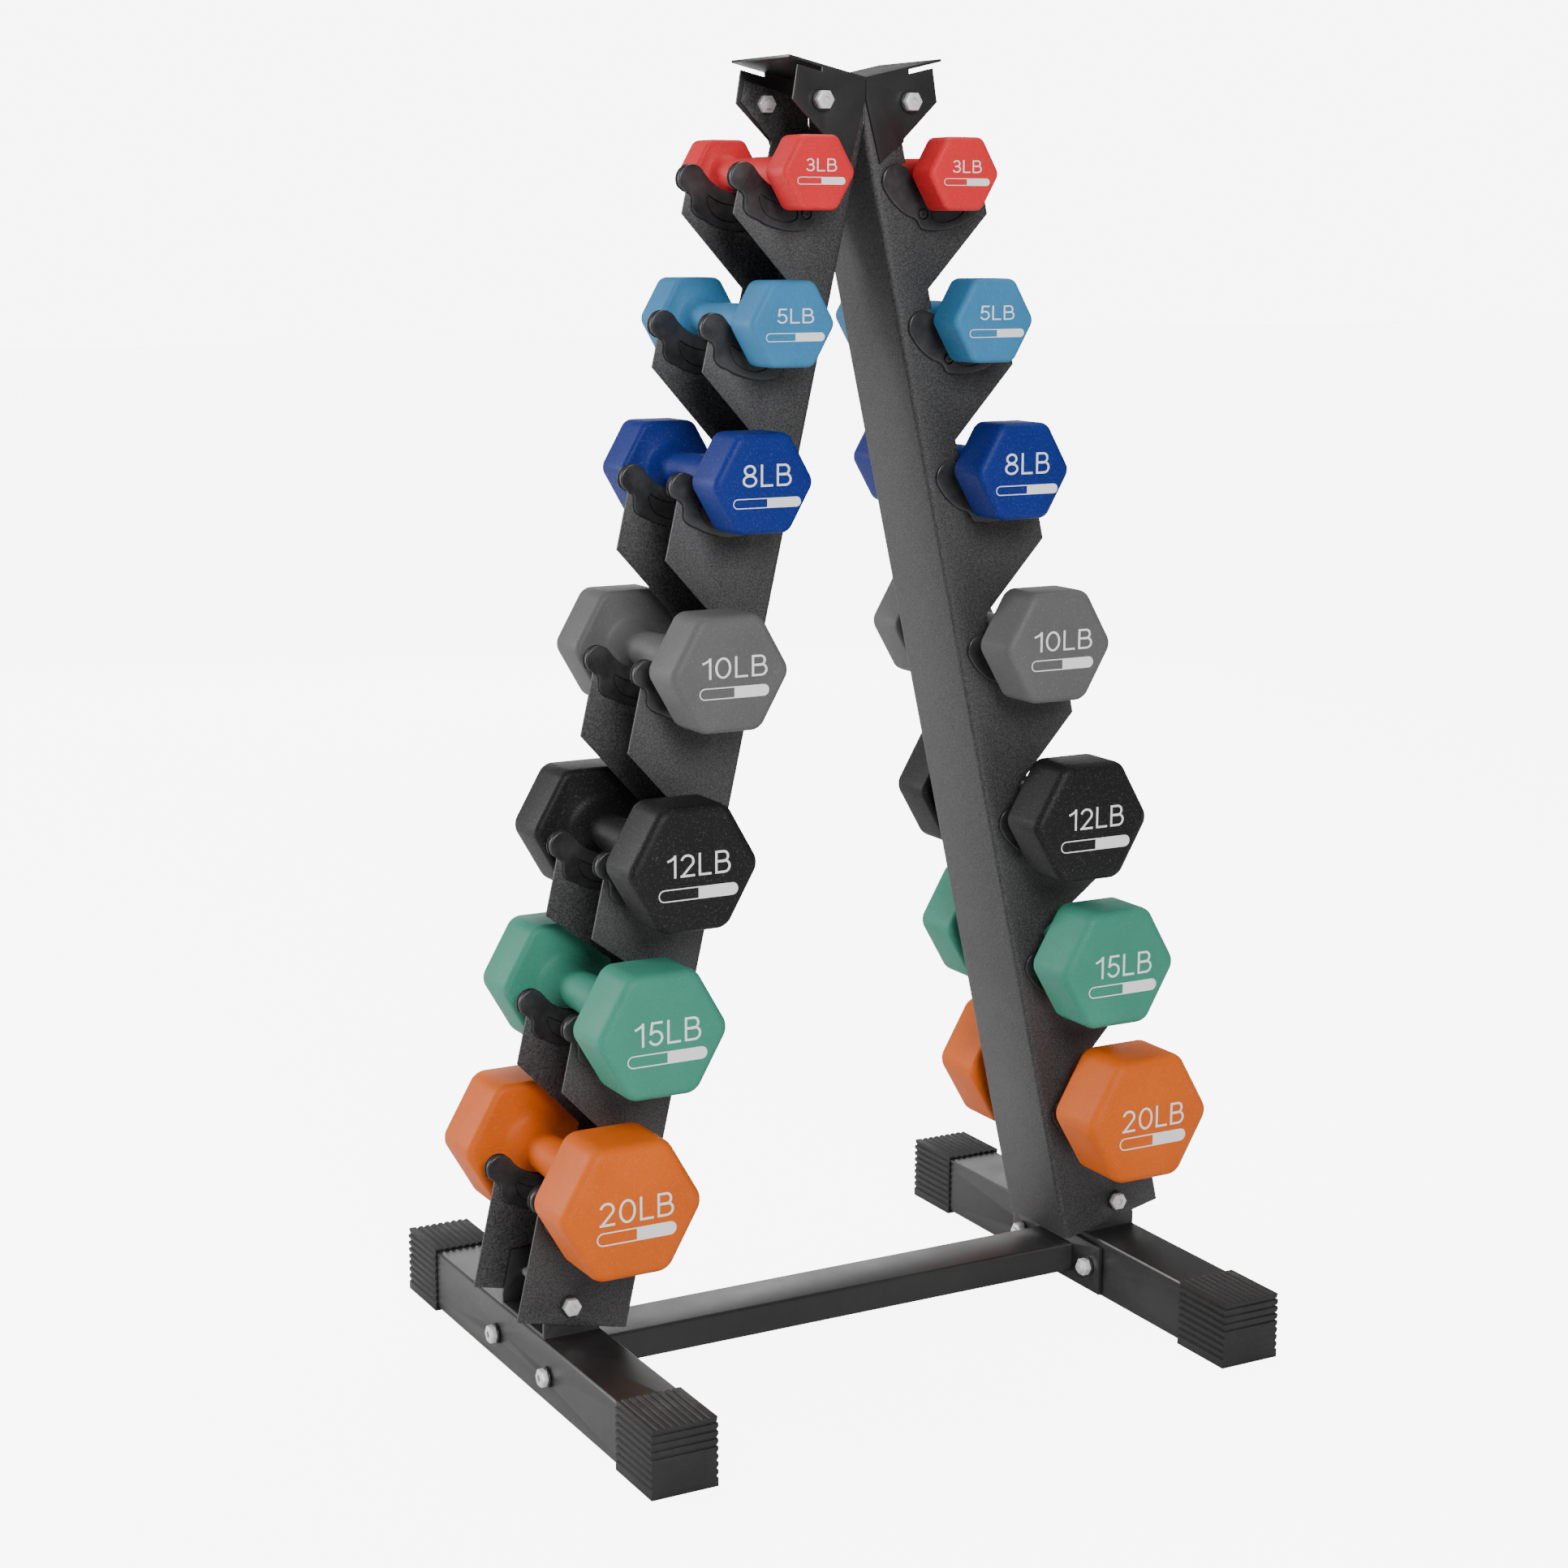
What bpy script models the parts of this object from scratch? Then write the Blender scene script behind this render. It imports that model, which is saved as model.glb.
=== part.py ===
"""Seven-tier A-frame dumbbell rack with its seven pairs of hex dumbbells.

Metres, +Z up. X runs across the A, Y runs along the feet and the dumbbells (front is -Y).
The origin is on the floor, midway between the four foot caps.
"""

from math import asin, cos, degrees, pi, radians, sin, sqrt, tan

import bmesh
import bpy
from mathutils import Matrix, Vector

# Gap between pieces that touch
GAP = 0.0003

# Uprights: folded sheet channels that lean together, open side outwards
LEAN = radians(12.75)
SHEET = 0.002
BEND_RADIUS = 0.004
CHANNEL_WIDTH = 0.0872
CHANNEL_DEPTH = 0.0955
MEETING_HEIGHT = 0.960
UPRIGHT_FOOT_HEIGHT = 0.0495
THROAT_DEPTH = 0.0315
THROAT_RISE = 0.037
EAR_DEPTH = 0.064
EAR_SHOULDER_HEIGHT = 0.9884
EAR_TOP_HEIGHT = 0.990
CENTRE_GAP = 0.0006

# Crown bracket: a V-shaped top plate with folded skirts outside the uprights' ears
CROWN_VALLEY_HEIGHT = 1.0045
CROWN_HALF_SPAN = 0.066
CROWN_SLOT_START = 0.0375
CROWN_EDGE = (0.0586, 1.0123)
CROWN_SHOULDER = (0.0627, 0.9872)
CROWN_THROAT = (0.0339, 0.9596)
CROWN_SKIRT_INSET = 0.008
CROWN_SEAM_FOOT = 0.988
CROWN_SKIRT_FOOT = 0.941
CROWN_BOLT = (0.0383, 0.987)

# Cradles: moulded liners that clip over the notches in the flanges
CRADLE_OFFSET = 0.052
CRADLE_THICKNESS = 0.008
NOTCH_MARGIN = 0.0033
INNER_ARC = 0.027
OUTER_ARC = 0.0374
HORN = (0.0405, 0.010, 0.0115)
ARM = (-0.0353, 0.0085, 0.0127)
ARM_TOP = 0.019
NOTCH_STEP = 0.0215
NOTCH_TIP = 0.006
SKIRT_KINK = (0.0409, -0.005)
SKIRT_ARC = ((0.0415, -0.012), (0.0165, -0.0270), (-0.0120, -0.0277))
ARM_SWEEP = ((-0.0170, -0.0216), (-0.0354, -0.0115), (-0.0465, 0.0030))

# Dumbbells, top tier first: pounds, seat height, rise to the tooth above, across flats,
# head length, handle radius, colour
HEAD_INNER_FACE = 0.061
LIGHT_INNER_FACE = 0.057
LIGHT_POUNDS = 8
HEX_CORNER = 0.08
TIERS = (
    (3, 0.920, None, 0.0545, 0.031, 0.0130, (0.62, 0.05, 0.05)),
    (5, 0.810, 0.094, 0.0635, 0.037, 0.0135, (0.10, 0.29, 0.45)),
    (8, 0.693, 0.095, 0.0745, 0.042, 0.0150, (0.01, 0.05, 0.24)),
    (10, 0.554, 0.095, 0.088, 0.045, 0.0155, (0.16, 0.16, 0.16)),
    (12, 0.410, 0.095, 0.096, 0.049, 0.0160, (0.02, 0.02, 0.02)),
    (15, 0.286, 0.079, 0.097, 0.052, 0.0165, (0.08, 0.33, 0.24)),
    (20, 0.155, 0.093, 0.105, 0.058, 0.0170, (0.62, 0.16, 0.03)),
)

# Base: two square foot tubes with end caps, joined by a flat cross tube
FOOT_X = 0.2533
FOOT_TUBE = 0.050
FOOT_WALL = 0.002
FOOT_HALF_LENGTH = 0.2317
CAP_SIZE = 0.054
CAP_LENGTH = 0.060
CAP_END = 0.004
CAP_ROUND = 0.0025
FOOT_CENTRE_Z = CAP_SIZE / 2
SADDLE_SHEET = 0.003
SADDLE_HALF_WIDTH = 0.0235
SADDLE_HEIGHT = 0.097
UPRIGHT_BOLT = (0.256, 0.077)
CROSS_WIDTH = 0.050
CROSS_HEIGHT = 0.025
CROSS_Z = 0.025
CROSS_PLATE = 0.003
CROSS_PLATE_HALF_LENGTH = 0.066
CROSS_PLATE_HEIGHT = 0.042
CROSS_BOLT_Y = 0.050

# M8 fasteners
SHANK_RADIUS = 0.004
HOLE_RADIUS = 0.0046
HEX_FLATS = 0.013
HEAD_HEIGHT = 0.0053
NUT_HEIGHT = 0.0065
WASHER_RADIUS = 0.008
WASHER_HEIGHT = 0.0016
THREAD_SPARE = 0.003

STEEL = ((0.03, 0.03, 0.032), 0.45, 0.0)
LINER = ((0.022, 0.022, 0.024), 0.4, 0.0)
CAP = ((0.03, 0.03, 0.03), 0.6, 0.0)
ZINC = ((0.75, 0.76, 0.78), 0.3, 1.0)


def web_x(z):
    """X of the web's outer face on the +X upright at height z."""
    return CENTRE_GAP + (MEETING_HEIGHT - z) * tan(LEAN)


def at_depth(depth, z):
    """Point at a distance square to the web, at height z."""
    return (web_x(z) + depth / cos(LEAN), z)


def depth_below_square_cut(height, depth):
    """Point on a cut square to the upright that starts at height on the web."""
    base = Vector((web_x(height), height))
    return tuple(base + depth * Vector((cos(LEAN), sin(LEAN))))


def arc(centre, radius, start, end, steps):
    """Points on an arc, angles in degrees, both ends included."""
    points = []
    for i in range(steps + 1):
        angle = radians(start + (end - start) * i / steps)
        points.append((centre[0] + radius * cos(angle), centre[1] + radius * sin(angle)))
    return points


def bow(first, middle, last, steps):
    """Points on a smooth bow through three points."""
    first, middle, last = Vector(first), Vector(middle), Vector(last)
    pull = 2 * middle - (first + last) / 2
    points = []
    for i in range(steps + 1):
        t = i / steps
        points.append(tuple((1 - t) ** 2 * first + 2 * t * (1 - t) * pull + t**2 * last))
    return points


def new_material(name, look):
    colour, roughness, metallic = look
    material = bpy.data.materials.new(name)
    material.use_nodes = True
    shader = material.node_tree.nodes["Principled BSDF"]
    shader.inputs["Base Color"].default_value = (*colour, 1)
    shader.inputs["Roughness"].default_value = roughness
    shader.inputs["Metallic"].default_value = metallic
    return material


def add_object(name, mesh, location=(0, 0, 0), turn=0.0):
    item = bpy.data.objects.new(name, mesh)
    item.location = location
    item.rotation_euler = (0, 0, turn)
    bpy.context.collection.objects.link(item)
    return item


def finish(mesh, build, look):
    """Close off a bmesh: outward faces, smooth round stretches, one material."""
    bmesh.ops.remove_doubles(build, verts=build.verts, dist=1e-6)
    bmesh.ops.recalc_face_normals(build, faces=build.faces)
    build.to_mesh(mesh)
    build.free()
    mesh.shade_smooth()
    mesh.set_sharp_from_angle(angle=radians(35))
    mesh.materials.append(new_material(mesh.name, look))
    return mesh


def prism(name, outline, y_low, y_high, look):
    """A flat outline in X and Z, given a thickness along Y."""
    build = bmesh.new()
    corners = [build.verts.new((x, y_low, z)) for x, z in outline]
    face = build.faces.new(corners)
    solid = bmesh.ops.extrude_face_region(build, geom=[face])
    moved = [v for v in solid["geom"] if isinstance(v, bmesh.types.BMVert)]
    bmesh.ops.translate(build, verts=moved, vec=(0, y_high - y_low, 0))
    return finish(bpy.data.meshes.new(name), build, look)


def loft(name, rings, look):
    """A closed skin over rings that all have the same number of points."""
    build = bmesh.new()
    loops = [[build.verts.new(point) for point in ring] for ring in rings]
    count = len(loops[0])
    for lower, upper in zip(loops, loops[1:]):
        for i in range(count):
            j = (i + 1) % count
            build.faces.new((lower[i], lower[j], upper[j], upper[i]))
    build.faces.new(loops[0])
    build.faces.new(loops[-1])
    return finish(bpy.data.meshes.new(name), build, look)


def box(name, low, high, look):
    outline = [(low[0], low[2]), (high[0], low[2]), (high[0], high[2]), (low[0], high[2])]
    return prism(name, outline, low[1], high[1], look)


def make_cutter(mesh):
    cutter = add_object(mesh.name, mesh)
    cutter.hide_render = True
    cutter.display_type = "WIRE"
    return cutter


def combine(mesh, parts, operation):
    """The mesh after one EXACT Boolean with each part in turn."""
    body = add_object("work", mesh)
    for part in parts:
        modifier = body.modifiers.new(part.name, "BOOLEAN")
        modifier.operation = operation
        modifier.solver = "EXACT"
        modifier.object = make_cutter(part)
    depsgraph = bpy.context.evaluated_depsgraph_get()
    result = bpy.data.meshes.new_from_object(body.evaluated_get(depsgraph))
    result.name = mesh.name
    for modifier in list(body.modifiers):
        bpy.data.objects.remove(modifier.object)
    bpy.data.objects.remove(body)
    return result


def bolt_hole(x, z, y_low, y_high):
    """Cutter for a bolt that runs along Y."""
    return prism("hole", arc((x, z), HOLE_RADIUS, 0, 330, 11), y_low, y_high, STEEL)


def seat_place(tier):
    """X and Z of the lowest point of a cradle's bowl on the +X side."""
    return at_depth(CRADLE_OFFSET, TIERS[tier][1])


def edge_u(depth, v):
    """Sideways place, from a seat's lowest point, of a line parallel to the web."""
    return (depth - CRADLE_OFFSET) / cos(LEAN) - v * tan(LEAN)


def notch_outline(clearance):
    """The steel's edge under a cradle, from the throat out to the tooth."""
    margin = NOTCH_MARGIN - clearance
    step = NOTCH_STEP + clearance
    tip = NOTCH_TIP + clearance
    inner_radius = INNER_ARC + margin
    outer_radius = OUTER_ARC + margin
    top_angle = 180 + degrees((INNER_ARC - step) / inner_radius)
    tip_angle = 360 - degrees(asin((OUTER_ARC - tip) / outer_radius))
    points = [(edge_u(THROAT_DEPTH + clearance, step), step)]
    points += arc((0, INNER_ARC), inner_radius, top_angle, 270, 5)
    points += arc((0, OUTER_ARC), outer_radius, 270, tip_angle, 3)[1:]
    points.append((edge_u(CHANNEL_DEPTH + clearance, tip), tip))
    return points


def upright_mesh():
    """The +X upright: a channel with seven notches, cut square at its foot."""
    half = CHANNEL_WIDTH / 2
    inner_bend = BEND_RADIUS - SHEET
    section = [(CHANNEL_DEPTH, -half)]
    section += arc((BEND_RADIUS, -half + BEND_RADIUS), BEND_RADIUS, 270, 180, 3)
    section += arc((BEND_RADIUS, half - BEND_RADIUS), BEND_RADIUS, 180, 90, 3)
    section += [(CHANNEL_DEPTH, half), (CHANNEL_DEPTH, half - SHEET)]
    section += arc((BEND_RADIUS, half - BEND_RADIUS), inner_bend, 90, 180, 3)
    section += arc((BEND_RADIUS, -half + BEND_RADIUS), inner_bend, 180, 270, 3)
    section += [(CHANNEL_DEPTH, -half + SHEET)]
    rings = []
    for height in (UPRIGHT_FOOT_HEIGHT, EAR_TOP_HEIGHT):
        ring = []
        for depth, y in section:
            x, z = depth_below_square_cut(height, depth)
            ring.append((x, y, z))
        rings.append(ring)
    channel = loft("upright", rings, STEEL)

    # Everything outside the toothed edge, from the ear down to the floor
    edge = [depth_below_square_cut(EAR_TOP_HEIGHT + 0.02, EAR_DEPTH)]
    edge.append(at_depth(EAR_DEPTH, EAR_SHOULDER_HEIGHT))
    for tier, (_, seat_z, rise, *_rest) in enumerate(TIERS):
        seat_x = seat_place(tier)[0]
        if rise is not None:
            edge.append(at_depth(CHANNEL_DEPTH, seat_z + rise))
        throat_top = seat_z + THROAT_RISE
        if tier == 0:
            throat_top = CROWN_THROAT[1]
        edge.append(at_depth(THROAT_DEPTH, throat_top))
        for u, v in notch_outline(0.0):
            edge.append((seat_x + u, seat_z + v))
    far = 0.05
    last = edge[-1]
    outline = edge + [(last[0] + far, last[1]), (last[0] + far, EAR_TOP_HEIGHT + 0.06)]
    reach = CHANNEL_WIDTH / 2 + 0.01
    teeth = prism("teeth", outline, -reach, reach, STEEL)

    # The ears stop at the middle, and the web stops where the two uprights meet
    middle = box("middle", (-0.1, -reach, 0.9), (CENTRE_GAP, reach, 1.1), STEEL)
    holes = [bolt_hole(*place, -reach, reach) for place in (CROWN_BOLT, UPRIGHT_BOLT)]
    return combine(channel, [teeth, middle, *holes], "DIFFERENCE")


def plate_height(x):
    """Height of the crown plate's top face."""
    return CROWN_VALLEY_HEIGHT + abs(x) * tan(LEAN)


def crown_mesh():
    span = CROWN_HALF_SPAN
    outer = CHANNEL_WIDTH / 2 + GAP + SHEET
    top = [(-span, plate_height(span)), (0, plate_height(0)), (span, plate_height(span))]
    bottom = [(x, z - SHEET) for x, z in reversed(top)]
    plate = prism("crown_bracket", top + bottom, -outer, outer, STEEL)

    start = CROWN_SLOT_START
    in_plate = SHEET / 2
    throat_foot = (CROWN_THROAT[0] - 0.0008, CROWN_THROAT[1] - 0.003)
    inset_foot = at_depth(CROWN_SKIRT_INSET, CROWN_SKIRT_FOOT)
    side = [
        (CENTRE_GAP / 2, CROWN_SEAM_FOOT),
        (CENTRE_GAP / 2, CROWN_VALLEY_HEIGHT - in_plate),
        (start, plate_height(start) - in_plate),
        (start, CROWN_EDGE[1] - (CROWN_EDGE[0] - start) * tan(LEAN)),
        CROWN_EDGE,
        CROWN_SHOULDER,
        CROWN_THROAT,
        throat_foot,
        *bow(throat_foot, (0.0240, 0.9505), inset_foot, 4)[1:],
    ]
    mirrored = [(-x, z) for x, z in reversed(side)]
    skirts = []
    for y in (-outer, outer - SHEET):
        for outline in (side, mirrored):
            skirts.append(prism("skirt", outline, y, y + SHEET, STEEL))
    joined = combine(plate, skirts, "UNION")
    holes = []
    for x in (-CROWN_BOLT[0], CROWN_BOLT[0]):
        holes.append(bolt_hole(x, CROWN_BOLT[1], -outer - 0.01, outer + 0.01))
    return combine(joined, holes, "DIFFERENCE")


def cradle_mesh():
    """A cradle for the +X side, about the lowest point of its bowl and its mid-plane."""
    start_angle = 180 + degrees((INNER_ARC - ARM_TOP) / INNER_ARC)
    reach = Vector((HORN[0], HORN[1] - OUTER_ARC))
    touch = -degrees(reach.angle(Vector((1, 0))))
    outline = arc(ARM[:2], ARM[2], 205, 85, 5)
    outline += arc((0, INNER_ARC), INNER_ARC, start_angle, 270, 4)
    outline += arc((0, OUTER_ARC), OUTER_ARC, 270, 360 + touch, 3)[1:]
    outline += arc(HORN[:2], HORN[2], 180 + touch, -30, 6)[1:]
    outline += [SKIRT_KINK]
    outline += bow(*SKIRT_ARC, 4)
    outline += bow(*ARM_SWEEP, 3)
    half = CRADLE_THICKNESS / 2
    body = prism("cradle", outline, -half, half, LINER)

    far = 0.075
    groove = notch_outline(GAP)
    outer_u = edge_u(CHANNEL_DEPTH + GAP, -far)
    throat_u = edge_u(THROAT_DEPTH + GAP, far)
    steel = [(-far, -far), (-far, far), (throat_u, far), *groove, (outer_u, -far)]
    slot = SHEET / 2 + GAP
    flange = prism("groove", steel, -slot, slot, LINER)
    return combine(body, [flange], "DIFFERENCE")


def hex_ring(y, flats, corner):
    """Eighteen points: a hexagon with cut corners, points left and right."""
    ring = []
    tip = flats / sqrt(3)
    for side in range(6):
        angle = radians(60 * side)
        along = Vector((-sin(angle), cos(angle)))
        point = Vector((cos(angle), sin(angle))) * tip
        back = Vector((cos(angle - pi / 3), sin(angle - pi / 3))) * tip - point
        ahead = Vector((cos(angle + pi / 3), sin(angle + pi / 3))) * tip - point
        first = point + back * corner
        last = point + ahead * corner
        middle = (first + last) / 2 * 0.6 + point * 0.4
        middle -= along * middle.dot(along)
        ring += [(p.x, y, p.y) for p in (first, middle, last)]
    return ring


def round_ring(y, radius, count):
    step = 360 / count
    return [(x, y, z) for x, z in arc((0, 0), radius, -step, 360 - 2 * step, count - 1)]


def dumbbell_mesh(pounds, flats, length, radius, colour):
    """Two hex heads on a round handle, about the handle's middle, lying along Y."""
    chamfer = 0.06 * flats
    inner = LIGHT_INNER_FACE if pounds <= LIGHT_POUNDS else HEAD_INNER_FACE
    stations = (
        (inner - 0.004, None, radius),
        (inner + 0.001, None, radius * 1.35),
        (inner + 0.003, flats * 0.84, HEX_CORNER),
        (inner + 0.003 + 0.7 * chamfer, flats, HEX_CORNER),
        (inner + length - 0.7 * chamfer, flats, HEX_CORNER),
        (inner + length, flats * 0.88, HEX_CORNER),
    )
    sections = [(-y, size, detail) for y, size, detail in reversed(stations)] + list(stations)
    rings = []
    for y, size, detail in sections:
        if size is None:
            rings.append(round_ring(y, detail, 18))
        else:
            rings.append(hex_ring(y, size, detail))
    return loft(f"dumbbell_{pounds:02d}lb", rings, (colour, 0.55, 0.0))


def fastener_mesh(name, grip):
    """Bolt, washers and nut as assembled along Y: the head in front of y = 0, the grip behind."""
    tip = HEX_FLATS / sqrt(3)

    def hexagon(y):
        ring = []
        for i in range(12):
            radius = tip if i % 2 == 0 else HEX_FLATS / 2
            angle = radians(30 * (i - 1))
            ring.append((radius * cos(angle), y, radius * sin(angle)))
        return ring

    def circle(y, radius):
        return round_ring(y, radius, 12)

    head = -GAP - WASHER_HEIGHT
    nut = grip + GAP + WASHER_HEIGHT
    rings = [
        circle(head - HEAD_HEIGHT, HEX_FLATS * 0.45),
        hexagon(head - HEAD_HEIGHT + 0.0008),
        hexagon(head),
        circle(head, WASHER_RADIUS),
        circle(-GAP, WASHER_RADIUS),
        circle(-GAP, SHANK_RADIUS),
        circle(grip + GAP, SHANK_RADIUS),
        circle(grip + GAP, WASHER_RADIUS),
        circle(nut, WASHER_RADIUS),
        hexagon(nut),
        hexagon(nut + NUT_HEIGHT - 0.0008),
        circle(nut + NUT_HEIGHT, HEX_FLATS * 0.45),
        circle(nut + NUT_HEIGHT, SHANK_RADIUS),
        circle(nut + NUT_HEIGHT + THREAD_SPARE, SHANK_RADIUS * 0.85),
    ]
    return loft(name, rings, ZINC)


def turned(mesh, angle, shift=0.0):
    """A mesh turned about Z, then shifted along Y."""
    mesh.transform(Matrix.Translation((0, shift, 0)) @ Matrix.Rotation(angle, 4, "Z"))
    return mesh


def foot_mesh():
    """The +X foot: a square tube with a saddle welded on top for the upright."""
    half = FOOT_TUBE / 2
    bore = half - FOOT_WALL
    end = FOOT_HALF_LENGTH
    centre = FOOT_CENTRE_Z
    top = centre + half
    tube = box("foot", (-half, -end, centre - half), (half, end, top), STEEL)
    saddle_outer = CHANNEL_WIDTH / 2 - SHEET - GAP
    wide = SADDLE_HALF_WIDTH
    bolt_x = UPRIGHT_BOLT[0] - FOOT_X
    ear = [
        (-wide, top - 0.001),
        (wide, top - 0.001),
        (wide, top + 0.010),
        (bolt_x + 0.013, SADDLE_HEIGHT),
        (bolt_x - 0.013, SADDLE_HEIGHT),
        (-wide, top + 0.010),
    ]
    low = (-wide, -saddle_outer, top - 0.001)
    high = (wide, saddle_outer, top + SADDLE_SHEET)
    parts = [
        box("base", low, high, STEEL),
        prism("ear", ear, -saddle_outer, -saddle_outer + SADDLE_SHEET, STEEL),
        prism("ear", ear, saddle_outer - SADDLE_SHEET, saddle_outer, STEEL),
    ]
    solid = combine(tube, parts, "UNION")
    cuts = [
        box("bore", (-bore, -end - 0.01, centre - bore), (bore, end + 0.01, centre + bore), STEEL),
        bolt_hole(bolt_x, UPRIGHT_BOLT[1], -saddle_outer - 0.01, saddle_outer + 0.01),
    ]
    for y in (-CROSS_BOLT_Y, CROSS_BOLT_Y):
        cuts.append(turned(bolt_hole(0, CROSS_Z, -half - 0.01, half + 0.01), pi / 2, y))
    return combine(solid, cuts, "DIFFERENCE")


def cap_mesh():
    """A foot cap for the -Y end, about the centre of its closed face."""
    half = CAP_SIZE / 2
    pocket = FOOT_TUBE / 2 + GAP
    outer = box("cap", (-half, 0, -half), (half, CAP_LENGTH, half), CAP)
    build = bmesh.new()
    build.from_mesh(outer)
    corners = [e for e in build.edges if abs(e.verts[0].co.y - e.verts[1].co.y) > 0.001]
    corners += [e for e in build.edges if e.verts[0].co.y < 0.001 and e.verts[1].co.y < 0.001]
    bmesh.ops.bevel(build, geom=corners, offset=CAP_ROUND, segments=2, profile=0.5, affect="EDGES")
    build.to_mesh(outer)
    build.free()
    inner = box("pocket", (-pocket, CAP_END, -pocket), (pocket, CAP_LENGTH + 0.01, pocket), CAP)
    return combine(outer, [inner], "DIFFERENCE")


def cross_mesh():
    """The flat cross tube with a bolting plate welded round each end."""
    half_y = CROSS_WIDTH / 2
    half_z = CROSS_HEIGHT / 2
    reach = FOOT_X - FOOT_TUBE / 2 - GAP
    low = (-reach, -half_y, CROSS_Z - half_z)
    high = (reach, half_y, CROSS_Z + half_z)
    tube = box("cross_tube", low, high, STEEL)
    plates = []
    for side in (-1, 1):
        ends = sorted((side * reach, side * (reach - CROSS_PLATE)))
        low = (ends[0], -CROSS_PLATE_HALF_LENGTH, CROSS_Z - CROSS_PLATE_HEIGHT / 2)
        high = (ends[1], CROSS_PLATE_HALF_LENGTH, CROSS_Z + CROSS_PLATE_HEIGHT / 2)
        plates.append(box("plate", low, high, STEEL))
    solid = combine(tube, plates, "UNION")
    bore_y = half_y - FOOT_WALL
    bore_z = half_z - FOOT_WALL
    low = (-reach - 0.01, -bore_y, CROSS_Z - bore_z)
    high = (reach + 0.01, bore_y, CROSS_Z + bore_z)
    cuts = [box("bore", low, high, STEEL)]
    for y in (-CROSS_BOLT_Y, CROSS_BOLT_Y):
        cuts.append(turned(bolt_hole(0, CROSS_Z, -reach - 0.01, reach + 0.01), pi / 2, y))
    return combine(solid, cuts, "DIFFERENCE")


def build_frame():
    upright = upright_mesh()
    foot = foot_mesh()
    for side, turn in (("right", 0.0), ("left", pi)):
        sign = cos(turn)
        add_object(f"upright_{side}", upright, turn=turn)
        add_object(f"foot_{side}", foot, (sign * FOOT_X, 0, 0), turn)
    add_object("crown_bracket", crown_mesh())
    add_object("cross_tube", cross_mesh())


def build_caps():
    cap = cap_mesh()
    end = FOOT_HALF_LENGTH + GAP + CAP_END
    for side, sign in (("left", -1), ("right", 1)):
        for place, along, turn in (("front", -1, 0.0), ("rear", 1, pi)):
            location = (sign * FOOT_X, along * end, FOOT_CENTRE_Z)
            add_object(f"foot_cap_{side}_{place}", cap, location, turn)


def build_cradles():
    cradle = cradle_mesh()
    plane = CHANNEL_WIDTH / 2 - SHEET / 2
    for tier in range(len(TIERS)):
        x, z = seat_place(tier)
        for side, turn in (("right", 0.0), ("left", pi)):
            for place, along in (("front", -1), ("rear", 1)):
                name = f"cradle_{side}_{tier + 1}_{place}"
                add_object(name, cradle, (cos(turn) * x, along * plane, z), turn)


def build_dumbbells():
    for tier, (pounds, _, _, flats, length, radius, colour) in enumerate(TIERS):
        mesh = dumbbell_mesh(pounds, flats, length, radius, colour)
        x, z = seat_place(tier)
        for side, sign in (("right", 1), ("left", -1)):
            name = f"dumbbell_{pounds:02d}lb_{side}"
            add_object(name, mesh, (sign * x, 0, z + radius + GAP))


def build_fasteners():
    crown_half = CHANNEL_WIDTH / 2 + GAP + SHEET
    crown = fastener_mesh("crown_bolt", 2 * crown_half)
    upright = fastener_mesh("upright_bolt", CHANNEL_WIDTH)
    cross = turned(fastener_mesh("cross_bolt", FOOT_TUBE + GAP + CROSS_PLATE), pi / 2)
    for side, sign in (("left", -1), ("right", 1)):
        add_object(f"crown_bolt_{side}", crown, (sign * CROWN_BOLT[0], -crown_half, CROWN_BOLT[1]))
        location = (sign * UPRIGHT_BOLT[0], -CHANNEL_WIDTH / 2, UPRIGHT_BOLT[1])
        add_object(f"upright_bolt_{side}", upright, location)
        for place, along in (("front", -1), ("rear", 1)):
            location = (sign * (FOOT_X + FOOT_TUBE / 2), along * CROSS_BOLT_Y, CROSS_Z)
            turn = 0.0 if sign > 0 else pi
            add_object(f"cross_bolt_{side}_{place}", cross, location, turn)


def main():
    for item in list(bpy.data.objects):
        bpy.data.objects.remove(item)
    build_frame()
    build_caps()
    build_cradles()
    build_dumbbells()
    build_fasteners()


main()
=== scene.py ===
"""Looks of a seven-tier A-frame dumbbell rack and its hex dumbbells, laid out as an add-on."""

from contextlib import contextmanager
from math import asin, atan2, cos, degrees, pi, radians, sin, sqrt, tan

import bmesh
import bpy
from bpy.props import FloatProperty, FloatVectorProperty, PointerProperty
from bpy.types import Operator, Panel, PropertyGroup
from mathutils import Matrix, Vector


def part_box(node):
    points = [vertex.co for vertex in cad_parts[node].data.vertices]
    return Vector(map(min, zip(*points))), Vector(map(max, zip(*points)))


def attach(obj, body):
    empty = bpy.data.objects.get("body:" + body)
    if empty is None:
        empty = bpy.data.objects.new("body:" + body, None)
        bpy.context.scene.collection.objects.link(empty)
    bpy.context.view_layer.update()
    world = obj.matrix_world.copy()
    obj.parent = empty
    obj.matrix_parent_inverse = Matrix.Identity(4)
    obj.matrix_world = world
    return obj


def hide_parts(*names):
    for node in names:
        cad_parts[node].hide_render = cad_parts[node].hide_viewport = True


bl_info = {
    "name": "Dumbbell Rack",
    "version": (1, 0, 0),
    "blender": (4, 5, 0),
    "location": "3D View > Sidebar > Rack",
    "description": "Models the pieces and finishes of an A-frame dumbbell rack",
    "category": "Object",
}

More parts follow.
